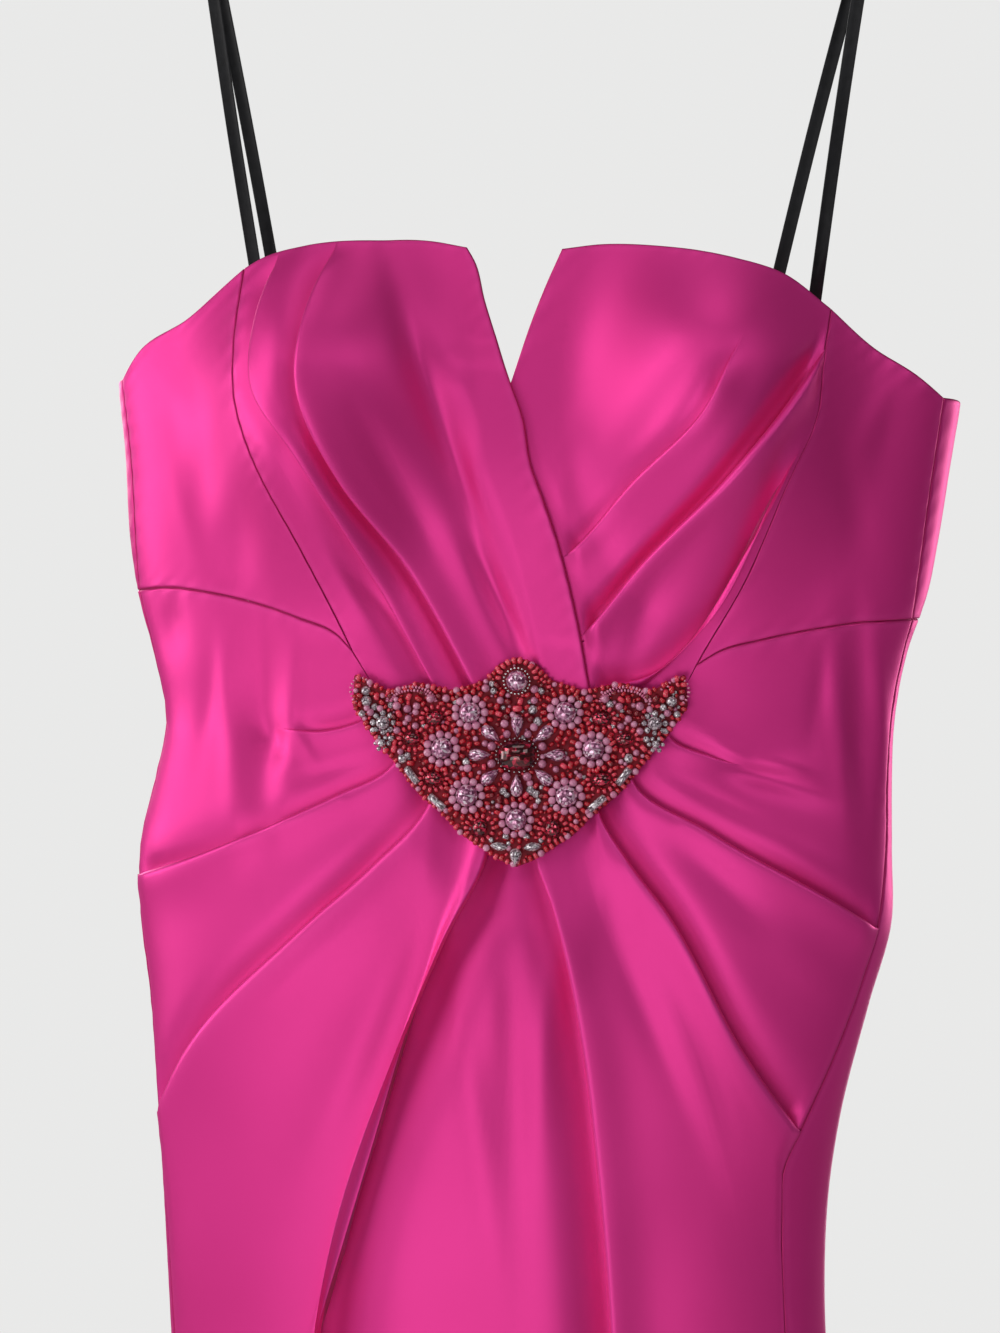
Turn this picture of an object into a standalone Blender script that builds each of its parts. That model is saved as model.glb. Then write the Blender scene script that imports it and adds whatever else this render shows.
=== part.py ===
"""A strapless satin sheath dress that hangs by two tape loops on a plain clothes hanger.

The dress is worked out in millimetres: x to the right, below = down from the tops of the cups, and
depth = forwards from the plane through its sides. The part's origin is the crown inside the hanger's hook,
with +Z up and the dress's front facing -Y. Left and right are as seen from the front.
"""

import math

import bmesh
import bpy
import numpy as np

# Driving sizes, in millimetres
MM = 0.001
CUP_TOPS = 320.0
HEM = 850.0
BODICE_WALL = 2.2
SKIRT_WALL = 1.6
SEAM = 0.36
FOLD_STEP = 0.6
FOLD_SHOULDER = 4.0
LAP_LIFT = 3.3
BACK_TOP = 88.0
BACK_WAIST = 180.0
ROUNDNESS = 2.6
COARSE_TO_FINE = 1.06

# Form of the dress: how far it reaches to the left and right, and its depth in front and behind
FORM = np.array([
    # below, left, right, front, back
    (0, 212, 212, 50, 12),
    (70, 212, 212, 54, 14),
    (100, 209, 207, 54, 16),
    (150, 206, 199, 50, 18),
    (175, 202, 194, 47, 20),
    (205, 194, 184, 44, 21),
    (240, 188, 178, 42, 21),
    (265, 193, 177, 44, 22),
    (300, 201, 177, 48, 24),
    (335, 201, 177, 50, 24),
    (375, 196, 166, 50, 26),
    (430, 192, 152, 48, 27),
    (460, 190, 147, 47, 27),
    (600, 183, 148, 46, 27),
    (850, 178, 158, 44, 27),
], float)

# Each cup is a round rise on the form
CUPS = (
    # x, below, half width, half height up, half height down, rise
    (-98, 72, 80, 98, 128, 36),
    (98, 74, 80, 98, 128, 36),
)

# Seams and edges, as points (x, below) that a smooth line runs through
TOP_LEFT = [(-136, 16.5), (-127, 12), (-104, 7), (-75, 5), (-46, 5), (-26, 9)]
TOP_RIGHT = [(20, 11), (41, 9), (77, 12.5), (105, 19.5), (126, 26.5), (148, 42)]
SIDE_TOP_LEFT = [(-206.7, 66), (-194, 52), (-168, 39), (-149, 26), (-136, 16.5)]
SIDE_TOP_RIGHT = [(148, 42), (168, 59.5), (189, 72.5), (201, 82)]
NOTCH_LEFT = [(-26, 9), (-22, 16), (-17, 35), (-11, 54), (-4, 75)]
NOTCH_RIGHT = [(-4, 75), (0, 62), (5, 47), (12, 29), (20, 11)]
PRINCESS_LEFT = [(-136, 16.5), (-138, 58), (-137, 82), (-131, 104), (-107, 154), (-84, 203)]
PRINCESS_RIGHT = [(148, 42), (144, 70), (142, 90), (128, 124), (108, 169), (84, 210)]
SIDE_SEAM_LEFT = [(-206.7, 66), (-201, 117), (-199.4, 172)]
SIDE_SEAM_RIGHT = [(201, 82), (193, 139), (186.4, 188)]
HIP_SEAM_LEFT = [(-199.4, 172), (-192, 205), (-186.5, 240), (-191, 265), (-199, 300), (-199, 335), (-194, 375),
                 (-189.5, 430), (-186, 470), (-168, 850)]
HIP_SEAM_RIGHT = [(186.4, 188), (182, 205), (176, 240), (174.5, 265), (174, 300), (170, 336), (159, 373), (149, 399),
                  (134.5, 431), (125, 452), (124, 480), (127, 560), (142, 850)]
WAIST_LEFT = [(-84, 203), (-91, 195.5), (-111, 187), (-133, 180), (-156, 174.5), (-179, 171.5), (-199.4, 172)]
WAIST_RIGHT = [(84, 210), (96, 203), (113, 198.5), (140, 193), (156, 190.5), (186.4, 188)]
CORNER_LEFT = (-73, 221)
CORNER_RIGHT = (78, 222)
WAIST_ARC = [CORNER_LEFT, (-60, 233), (-32, 246), (0, 252), (36, 246), (62, 235), CORNER_RIGHT]
LAP = [(-4, 75), (2, 92), (6, 115), (12, 132), (18, 150), (22, 165), (28, 192), (32, 216), (37, 245.8)]
UNDER = [(-4, 75), (-8, 84), (-8, 100), (-4, 120), (3, 141), (9, 165), (15, 192), (19, 216), (23, 249.3)]

# Soft hollows and swellings of the cloth between the folds
SOFT = (
    # x, below, leaning from upright in degrees, half length, half width, rise
    (-130, 243, 0, 52, 9, -3.0),
    (-179, 190, 0, 14, 8, -2.0),
    (-125, 248, 20, 10, 8, -2.5),
    (-141, 150, -8, 34, 12, -2.5),
    (162, 235, 3, 48, 7, -2.5),
    (112, 263, 75, 14, 6, -2.5),
    (131, 269, 70, 16, 5, -1.5),
    (-36, 95, 18, 62, 7, -5.0),
    (-12, 178, 24, 34, 5, -4.0),
    (-30, 340, 20, 60, 14, 2.0),
    (30, 330, -18, 50, 12, 2.0),
)

# Ornament at the waist: half of its outline, and its stones, from its own middle
MOTIF_AT = (-1.5, 254.0)
MOTIF_UNDERSIDE = 3.8
MOTIF_FACE = 6.2
STONE_GAP = 0.45
MOTIF_HALF = [(9, -45), (16, -37), (32, -32), (49, -36), (64, -32), (80, -40), (81, -24), (71, -9), (60, 4),
              (49, 18), (37, 28), (27, 38), (16, 45), (8, 50)]
MOTIF_TOP = (0, -48)
MOTIF_TAIL = (0, 53)
MOTIF_HEART = (0, 20)
MOTIF_RINGS = (0.25, 0.5, 0.75, 1.0)
STONES = (
    # name, right of the middle, below the middle, outline, half length, half width, height, turned, mirrored
    ("centre", 0, 0, "cushion", 9.0, 7.0, 7.0, 0, False),
    ("rose", 23, -21.4, "round", 7.6, 7.6, 6.0, 0, True),
    ("rose", 36.5, -3, "round", 7.6, 7.6, 6.0, 0, True),
    ("rose", 24, 19.7, "round", 7.6, 7.6, 6.0, 0, True),
    ("rose", 0, -37, "round", 6.6, 6.6, 6.0, 0, False),
    ("rose", 0, 31, "round", 7.2, 7.2, 6.0, 0, False),
    ("oval", 40, -18.5, "round", 4.4, 5.6, 5.0, 0, True),
    ("oval", 40.5, 11.5, "round", 4.4, 5.6, 5.0, 0, True),
    ("oval", 17.5, 35, "round", 4.6, 5.4, 5.0, 0, True),
    ("oval", 51, -8, "round", 4.4, 5.4, 5.0, 0, True),
    ("wing", 65.5, -16, "round", 5.0, 6.5, 5.0, 0, True),
    ("leaf", 51, 10, "navette", 5.0, 2.2, 4.0, 128, True),
    ("leaf", 38.5, 23, "navette", 5.0, 2.2, 4.0, 140, True),
    ("leaf", 8, 43.5, "navette", 4.2, 2.2, 4.0, 120, True),
    ("tail", 0, 47.5, "drop", 4.2, 2.8, 4.5, 90, False),
)
DROPS = 8
DROP_RING = (18.0, 14.6)
DROP_SIZE = (5.4, 3.0, 5.0)

# Zip in the centre back seam
ZIP_HALF = 2.6
ZIP_TOP = 90.0
ZIP_END = 360.0
ZIP_CLOSE = 14.0
SLIDER_AT = 98.0
PIN_OUT = 2.7
PULL_LENGTH = 22.0

# Hanger: notches and tape loops
NOTCH_X = 168.0
NOTCH_BELOW = -172.0
TAPE_WIDTH = 6.5
TAPE_THICK = 1.0
TAPE_CLEAR = 0.6
HOOK_INNER = 18.5
HOOK_WIRE = 3.5
NECK_TOP = -255.0
ARM_TALL = 11.0
ARM_THICK = 9.0
ARM_CORNER = 0.75
ARM_LINE = [
    # x, below, tall, thick
    (0, NECK_TOP + 15, 30, 10),
    (14, -238, 26, 10),
    (34, -231, 17, 9),
    (70, -215, 13, 9),
    (110, -197, 12, 9),
    (150, -181, 12, 9),
    (158, -178, 13, 9),
    (163.5, NOTCH_BELOW, ARM_TALL, ARM_THICK),
    (172.5, NOTCH_BELOW, ARM_TALL, ARM_THICK),
    (178, -172, 15, 9),
    (190, -166, 15, 9),
    (203, -161, 13, 8),
    (211, -158, 7, 5),
]

# Each tape: where it is sewn in at the back, in front of itself and behind
TAPES = (
    # name, side, x of its front end, x of its back end
    ("hanging_loop_left", -1, -131, -119),
    ("hanging_loop_right", 1, 130, 102),
)
TAPE_FOOT = 100.0
TAPE_SPARE = 0.25


# Smooth lines and edges
def hermite(at, knots, values):
    """Smooth curve through the values at the knots, with each knot's slope taken from its neighbours."""
    at = np.asarray(at, float)
    knots = np.asarray(knots, float)
    values = np.asarray(values, float)
    slope = np.gradient(values, knots, axis=0)
    i = np.clip(np.searchsorted(knots, at) - 1, 0, len(knots) - 2)
    step = knots[i + 1] - knots[i]
    t = np.clip((at - knots[i]) / step, 0, 1)
    if values.ndim > 1:
        step = step[..., None]
        t = t[..., None]
    start = values[i] * (1 + 2 * t) * (1 - t) ** 2 + slope[i] * step * t * (1 - t) ** 2
    end = values[i + 1] * t * t * (3 - 2 * t) + slope[i + 1] * step * t * t * (t - 1)
    return start + end


def length_along(points):
    """Distance from the first point to each point of a line."""
    steps = np.linalg.norm(np.diff(points, axis=0), axis=1)
    return np.concatenate([[0.0], np.cumsum(steps)])


def line(points, fractions):
    """Points of a smooth line at the given fractions of its length."""
    points = np.asarray(points, float)
    knots = length_along(points)
    dense = hermite(np.linspace(0, knots[-1], 600), knots, points)
    run = length_along(dense)
    at = np.asarray(fractions, float) * run[-1]
    return np.stack([np.interp(at, run, dense[:, k]) for k in range(points.shape[1])], -1)


def smooth(t):
    """Soft step from 0 to 1 while t runs from 0 to 1."""
    t = np.clip(t, 0, 1)
    return t * t * (3 - 2 * t)


class Edge:
    """Smooth stretches that meet in corners; place 1.25 lies a quarter of the way along stretch 1."""

    def __init__(self, *stretches):
        self.places = np.linspace(0, 1, 301)
        self.stretches = [line(s, self.places) for s in stretches]

    def at(self, place):
        place = np.asarray(place, float)
        last = len(self.stretches) - 1
        which = np.clip(np.floor(place).astype(int), 0, last)
        out = np.zeros(place.shape + (2,))
        for k, stretch in enumerate(self.stretches):
            inside = np.clip(place - k, 0, 1)
            for axis in (0, 1):
                value = np.interp(inside, self.places, stretch[:, axis])
                out[..., axis] = np.where(which == k, value, out[..., axis])
        return out

    def find(self, stretch, axis, value):
        along = self.stretches[stretch][:, axis]
        order = np.argsort(along)
        return stretch + float(np.interp(value, along[order], self.places[order]))


# The form
def form(below):
    """Reach to the left and right and depth in front and behind, at a distance below the cup tops."""
    return [hermite(below, FORM[:, 0], FORM[:, k]) for k in (1, 2, 3, 4)]


def cup_rise(x, below):
    total = np.zeros(np.broadcast(x, below).shape)
    for at_x, at_below, half, up, down, rise in CUPS:
        height = np.where(below < at_below, up, down)
        away = np.minimum(np.hypot((x - at_x) / half, (below - at_below) / height), 1)
        total = total + rise * (1 + np.cos(math.pi * away)) / 2
    return total


def soft_rise(x, below):
    total = np.zeros(np.broadcast(x, below).shape)
    for at_x, at_below, lean, half_length, half_width, rise in SOFT:
        turn = math.radians(lean)
        along = (below - at_below) * math.cos(turn) + (x - at_x) * math.sin(turn)
        across = (x - at_x) * math.cos(turn) - (below - at_below) * math.sin(turn)
        total = total + rise * np.exp(-((along / half_length) ** 2) - (across / half_width) ** 2)
    return total


def plain_depth(x, below):
    """Depth of the plain front at x: a rounded section, flat in front and turned in at the sides."""
    left, right, front, _ = form(below)
    part = np.clip(np.abs(x) / np.where(x < 0, left, right), 0, 1)
    return front * (1 - part ** ROUNDNESS) ** (1 / ROUNDNESS)


def skin(x, below, plain=None):
    """Points on the form and their outward directions, in (x, below, depth)."""
    if plain is None:
        plain = plain_depth(x, below)
    step = 0.5
    left, right, front, back = form(below)
    left_2, right_2, front_2, back_2 = form(below + step)
    reach = np.where(x < 0, left, right)
    reach_turn = (np.where(x < 0, left_2, right_2) - reach) / step
    span = np.where(plain > 0, front, back)
    span_turn = (np.where(plain > 0, front_2, back_2) - span) / step
    power = ROUNDNESS
    wide = np.abs(x) / reach
    deep = np.abs(plain) / span
    out_x = np.sign(x) * wide ** (power - 1) / reach
    out_depth = np.sign(plain) * deep ** (power - 1) / span
    out_below = -(wide ** power) * reach_turn / reach - deep ** power * span_turn / span
    ahead = plain > 0
    rise = np.where(ahead, cup_rise(x, below), 0)
    rise_x = np.where(ahead, cup_rise(x + step, below) - cup_rise(x, below), 0) / step
    rise_below = np.where(ahead, cup_rise(x, below + step) - cup_rise(x, below), 0) / step
    out = np.stack([out_x - out_depth * rise_x, out_below - out_depth * rise_below, out_depth], -1)
    out = out / np.linalg.norm(out, axis=-1, keepdims=True)
    return np.stack([x, below, plain + rise], -1), out


def world(points):
    """From (x, below, depth) in millimetres to the part's frame in metres."""
    x, below, depth = np.moveaxis(np.asarray(points, float), -1, 0)
    return np.stack([x, -depth, -(CUP_TOPS + below)], -1) * MM


# Materials and solids
def finish(name, colour, roughness, metallic=0.0):
    material = bpy.data.materials.new(name)
    material.use_nodes = True
    shader = material.node_tree.nodes["Principled BSDF"]
    shader.inputs["Base Color"].default_value = (*colour, 1.0)
    shader.inputs["Roughness"].default_value = roughness
    shader.inputs["Metallic"].default_value = metallic
    return material


SATIN_PINK = (0.80, 0.08, 0.34)


def add_object(name, vertices, faces, look, round_faces=True):
    """One closed solid from points in metres, with its faces turned outwards."""
    mesh = bpy.data.meshes.new(name)
    mesh.from_pydata([tuple(v) for v in vertices], [], faces)
    tidy = bmesh.new()
    tidy.from_mesh(mesh)
    bmesh.ops.recalc_face_normals(tidy, faces=tidy.faces)
    tidy.to_mesh(mesh)
    tidy.free()
    if round_faces:
        mesh.shade_smooth()
        mesh.set_sharp_from_angle(angle=math.radians(40))
    mesh.materials.append(finish(name, *look))
    thing = bpy.data.objects.new(name, mesh)
    bpy.context.collection.objects.link(thing)
    return thing


def cloth_solid(name, outer, inner, look):
    """A wall of cloth between two grids of points, closed round its four edges."""
    rows, columns = outer.shape[:2]
    points = world(np.concatenate([outer.reshape(-1, 3), inner.reshape(-1, 3)]))
    number = np.arange(rows * columns).reshape(rows, columns)
    a = number[:-1, :-1].ravel()
    b = number[:-1, 1:].ravel()
    c = number[1:, 1:].ravel()
    d = number[1:, :-1].ravel()
    front = np.concatenate([np.stack([a, b, c], -1), np.stack([a, c, d], -1)])
    behind = front[:, ::-1] + rows * columns
    border = np.concatenate([number[0, :-1], number[:-1, -1], number[-1, :0:-1], number[:0:-1, 0]])
    following = np.roll(border, -1)
    lower = border + rows * columns
    lower_following = following + rows * columns
    rim = np.concatenate([
        np.stack([following, border, lower], -1),
        np.stack([following, lower, lower_following], -1),
    ])
    faces = np.concatenate([front, behind, rim]).tolist()
    return add_object(name, points, faces, look)


def draw_in(points, amount):
    """Move the four edges of a grid of points inwards over the surface, each square to its own edge."""
    moved = points.copy()
    for flip in (False, True):
        grid = np.swapaxes(points, 0, 1) if flip else points
        target = np.swapaxes(moved, 0, 1) if flip else moved
        for edge, inside in ((0, 1), (-1, -2)):
            way = np.gradient(grid[edge], axis=0)
            way = way / np.maximum(np.linalg.norm(way, axis=-1, keepdims=True), 1e-9)
            near = np.concatenate([grid[inside][1:2], grid[inside], grid[inside][-2:-1]])
            inward = (near[:-2] + near[1:-1] + near[2:]) / 3 - grid[edge]
            inward[0] = inward[1]
            inward[-1] = inward[-2]
            inward = inward - (inward * way).sum(-1, keepdims=True) * way
            inward = inward / np.maximum(np.linalg.norm(inward, axis=-1, keepdims=True), 1e-9)
            target[edge] += amount * inward
    return moved


def wall(name, points, outward, outer_rise, inner_rise, thick, look):
    base = draw_in(points, SEAM / 2)
    outer = base + outward * outer_rise[..., None]
    inner = base + outward * (inner_rise - thick)[..., None]
    return cloth_solid(name, outer, inner, look)


# Fans of lines between guides
def fan(first, last, guides, rows, first_track=None, last_track=None):
    """Lines from the first edge to the last, evened between the guides.

    A guide is (start place, end place, points between, lap, lift, dip, lift width, dip width, ends, lines after).
    Lap 1 lets the cloth after the guide lie on top, -1 the cloth before it, and 0 is no fold. The fold has
    faded out at the distance that ends gives. Returns x, below, how far folds raise the outer and inner
    faces, and the place on the last edge where each line ends.
    """
    tracks = []
    for start, end, between, *_ in guides:
        route = [first.at(start), *between, last.at(end)]
        tracks.append(line(route, rows))
    if first_track is not None:
        tracks[0] = first_track
    if last_track is not None:
        tracks[-1] = last_track
    columns = []
    raised = []
    inner_raised = []
    places = []
    for k in range(len(guides) - 1):
        here, there = guides[k], guides[k + 1]
        width = np.maximum(np.linalg.norm(tracks[k + 1] - tracks[k], axis=1), 0.5)
        step = np.minimum(FOLD_STEP / width, 0.10)
        shoulder = np.minimum(FOLD_SHOULDER / width, 0.28)
        none = np.zeros(len(rows))
        if here[3]:
            parts = [(step, "step"), (shoulder, "")]
        else:
            parts = [(none, "")]
        tail = [(1 - shoulder, ""), (1 - step, "step")] if there[3] else []
        low = parts[-1][0]
        high = tail[0][0] if tail else none + 1
        count = here[9]
        parts += [(low + (high - low) * m / (count + 1), "") for m in range(1, count + 1)]
        parts += tail
        if k == len(guides) - 2 and not there[3]:
            parts.append((none + 1, ""))
        for part, kind in parts:
            blend = tracks[k] + (tracks[k + 1] - tracks[k]) * part[:, None]
            start = here[0] + (there[0] - here[0]) * part[0]
            end = here[1] + (there[1] - here[1]) * part[-1]
            blend = blend + ((1 - rows) ** 3)[:, None] * (first.at(start) - blend[0])
            blend = blend + (rows ** 3)[:, None] * (last.at(end) - blend[-1])
            columns.append(blend)
            places.append(end)
            after = fold_rise(here, 1, part * width, width, tracks[k])
            before = fold_rise(there, -1, (1 - part) * width, width, tracks[k + 1])
            rise = after + before
            hollow = np.minimum(rise, 0)
            if kind == "step":
                fold, track = (here, tracks[k]) if part[-1] < 0.5 else (there, tracks[k + 1])
                hollow = np.minimum(hollow, fold_rise(fold, -fold[3], none, width, track))
            raised.append(rise)
            inner_raised.append(hollow)
    grid = np.stack(columns, 1)
    return grid[..., 0], grid[..., 1], np.stack(raised, 1), np.stack(inner_raised, 1), np.array(places)


def fold_rise(guide, side, away, width, track):
    """Rise of a fold beside its guide: a rounded lip on the side that laps over, a hollow on the other."""
    _, _, _, lap, lift, dip, lift_width, dip_width, ends, _ = guide
    if not lap:
        return np.zeros(len(track))
    run = length_along(track)
    fade = smooth(run / 22) * smooth((ends - run) / 30)
    if side == lap:
        return lift * fade * np.exp(-((away / np.minimum(lift_width, 0.5 * width)) ** 2))
    return -dip * fade * np.exp(-((away / np.minimum(dip_width, 0.5 * width)) ** 2))


def under_motif(x, below, rise):
    """Keep the cloth under the ornament below its ground."""
    away = np.hypot((x - MOTIF_AT[0]) / 88, (below - MOTIF_AT[1] - 2) / 58)
    most = 3.3 + 12 * np.maximum(away - 1.0, 0)
    return np.minimum(rise, most)


# The bodice: how finely its panels are divided
SIDE_ROWS = 16
ROWS_LEFT = np.linspace(0, 1, SIDE_ROWS + 2)
ROWS_RIGHT = np.linspace(0, 1, 15) ** 1.1
ROWS_SKIRT = np.linspace(0, 1, 20) ** COARSE_TO_FINE
WAIST_STEPS = np.linspace(0, 1, 18)
SIDE_COLUMNS = WAIST_STEPS[[0, 1, 2, 3, 5, 7, 9, 11, 13, 15, 17]]
BACK_TURNS = np.array([0, 0.04, 0.08, 0.13, 0.2, 0.3, 0.42, 0.56, 0.7, 0.85, 1.0])
SATIN = (SATIN_PINK, 0.38)


def lap_lift(x, below):
    """The left cup lifts off the right one along the lap."""
    lap = line(LAP, np.linspace(0, 1, 60))
    edge_x = np.interp(below, lap[:, 1], lap[:, 0])
    away = (edge_x - x) * 0.96
    return LAP_LIFT * smooth((below - 52) / 18) * (1 - smooth((away - 20) / 14))


def make_cup_left():
    top = Edge(TOP_LEFT)
    foot = Edge(WAIST_ARC)
    none = (0, 0, 0, 1, 1, 999)
    guides = (
        (0.0, 0.0, PRINCESS_LEFT[1:], *none, 2),
        (top.find(0, 0, -117), foot.find(0, 0, -30), [(-126, 48), (-126, 76), (-106, 108), (-69, 174)],
         1, 2.0, 3.5, 11, 8, 999, 1),
        (top.find(0, 0, -88), foot.find(0, 0, -9), [(-99, 42), (-102, 78), (-84, 124), (-58, 160)],
         1, 3.0, 5.0, 10, 8, 999, 2),
        (top.find(0, 0, -56), foot.find(0, 0, 14), [(-48, 55), (-32, 112), (-12, 177)], *none, 3),
        (1.0, foot.find(0, 0, LAP[-1][0]), [*NOTCH_LEFT[1:-1], *LAP[:-1]], *none, 0),
    )
    seam = line(PRINCESS_LEFT, np.linspace(0, 1, SIDE_ROWS))
    stub = line([PRINCESS_LEFT[-1], CORNER_LEFT], [0.5, 1])
    x, below, rise, hollow, _ = fan(top, foot, guides, ROWS_LEFT, np.concatenate([seam, stub]))
    points, outward = skin(x, below)
    soft = soft_rise(x, below)
    lift = lap_lift(x, below)
    rise = under_motif(x, below, rise + lift + np.maximum(soft, 0)) + np.minimum(soft, 0)
    wall("cup_left", points, outward, rise, hollow + lift + np.minimum(soft, 0), BODICE_WALL, SATIN)
    return seam


def make_cup_right():
    under = Edge(UNDER)
    outer = Edge(NOTCH_RIGHT, TOP_RIGHT, [*PRINCESS_RIGHT, CORNER_RIGHT])
    arc = Edge(WAIST_ARC)
    none = (0, 0, 0, 1, 1, 999)
    seat = arc.find(0, 0, UNDER[-1][0])
    waist = arc.at(seat + (1 - seat) * ROWS_RIGHT)
    guides = (
        (0.0, 1.0, NOTCH_RIGHT[1:-1], *none, 2),
        (under.find(0, 1, 108), outer.find(1, 0, 77), [(20, 82), (52, 46)], *none, 2),
        (under.find(0, 1, 166), outer.find(1, 0, 124), [(21, 158), (53, 125), (90, 92), (103, 66)],
         1, 2.2, 2.5, 9, 6, 150, 1),
        (under.find(0, 1, 186), 2.0, [(24, 178), (66, 140), (106, 98), (126, 66)], *none, 1),
        (under.find(0, 1, 206), outer.find(2, 1, 62), [(28, 196.6), (57, 163), (99, 123), (122, 96)],
         1, 4.0, 4.5, 11, 8, 205, 1),
        (under.find(0, 1, 230), outer.find(2, 1, 96), [(36, 222), (63, 214), (91, 188), (120, 134)],
         1, 2.5, 3.5, 10, 9, 175, 3),
        (under.find(0, 1, 240), outer.find(2, 1, 210), [(44, 232), (66, 223)], *none, 0),
        (1.0, 3.0, [], *none, 0),
    )
    x, below, rise, hollow, places = fan(under, outer, guides, ROWS_RIGHT, None, waist)
    junction = np.argmin(np.abs(places - guides[-2][1]))
    x[-1, junction], below[-1, junction] = PRINCESS_RIGHT[-1]
    x[-1, -1] -= SEAM
    below[-1, -1] -= SEAM
    points, outward = skin(x, below)
    lap = line(LAP, np.linspace(0, 1, 60))
    clear = smooth((x - np.interp(below, lap[:, 1], lap[:, 0]) - 1) / 8)
    clear = np.where(below < 74, 1, clear)
    soft = soft_rise(x, below) * clear
    rise = under_motif(x, below, rise * clear + np.maximum(soft, 0)) + np.minimum(soft, 0)
    wall("cup_right", points, outward, rise, hollow * clear + np.minimum(soft, 0), BODICE_WALL, SATIN)
    seam = (places >= 2) & (places <= places[junction])
    return np.stack([x[-1, seam], below[-1, seam]], -1)


def side_front(name, inner, seam, top, waist):
    """Side panel: rows from the top edge to the waist, columns from the princess seam to the side seam."""
    fractions = length_along(inner)
    fractions = fractions / fractions[-1]
    outer = line(seam, fractions)
    across = SIDE_COLUMNS
    top_line = line(top, across)
    waist_line = line(waist, across)
    grid = inner[:, None] + (outer - inner)[:, None] * across[None, :, None]
    slack_top = top_line - grid[0]
    slack_foot = waist_line - grid[-1]
    down = fractions[:, None, None]
    grid = grid + slack_top * (1 - down) + slack_foot * down
    x, below = grid[..., 0], grid[..., 1]
    points, outward = skin(x, below)
    soft = soft_rise(x, below)
    wall(name, points, outward, soft, np.minimum(soft, 0), BODICE_WALL, SATIN)
    return outer


def round_back(name, seam, centre_top, centre_foot, thick):
    """Back panel: rows down the side seam, columns round the side to the centre back."""
    seam_x, seam_below = seam[:, 0], seam[:, 1]
    left, right, _, _ = form(seam_below)
    reach = np.where(seam_x < 0, left, right)
    start = np.arccos((np.abs(seam_x) / reach) ** (ROUNDNESS / 2))
    share = (seam_below - seam_below[0]) / (seam_below[-1] - seam_below[0])
    centre_below = centre_top + share * (centre_foot - centre_top)
    turn = BACK_TURNS[None, :]
    below = seam_below[:, None] + (centre_below - seam_below)[:, None] * smooth(turn)
    left, right, front, back = form(below)
    reach = np.where(seam_x[:, None] < 0, left, right)
    stop = -np.arccos((zip_gap(centre_below) / reach[:, -1]) ** (ROUNDNESS / 2))
    angle = start[:, None] + (stop - start)[:, None] * turn
    side = np.sign(seam_x)[:, None]
    x = side * reach * np.abs(np.cos(angle)) ** (2 / ROUNDNESS)
    span = np.where(angle > 0, front, back)
    plain = np.sign(angle) * span * np.abs(np.sin(angle)) ** (2 / ROUNDNESS)
    points, outward = skin(x, below, plain)
    flat = np.zeros(x.shape)
    wall(name, points, outward, flat, flat, thick, SATIN)


def zip_gap(below):
    """Half the way between the back panels: the zip's width down to its end, then the seam."""
    return (ZIP_HALF + SEAM / 2) * (1 - smooth((below - ZIP_END - 2) / ZIP_CLOSE)) + 0.02


def make_bodice():
    left = make_cup_left()
    right = make_cup_right()
    top = list(reversed(SIDE_TOP_LEFT))
    seam = side_front("side_front_left", left, SIDE_SEAM_LEFT, top, WAIST_LEFT)
    round_back("back_bodice_left", seam, BACK_TOP, BACK_WAIST, BODICE_WALL)
    seam = side_front("side_front_right", right, SIDE_SEAM_RIGHT, SIDE_TOP_RIGHT, WAIST_RIGHT)
    round_back("back_bodice_right", seam, BACK_TOP, BACK_WAIST, BODICE_WALL)


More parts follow.
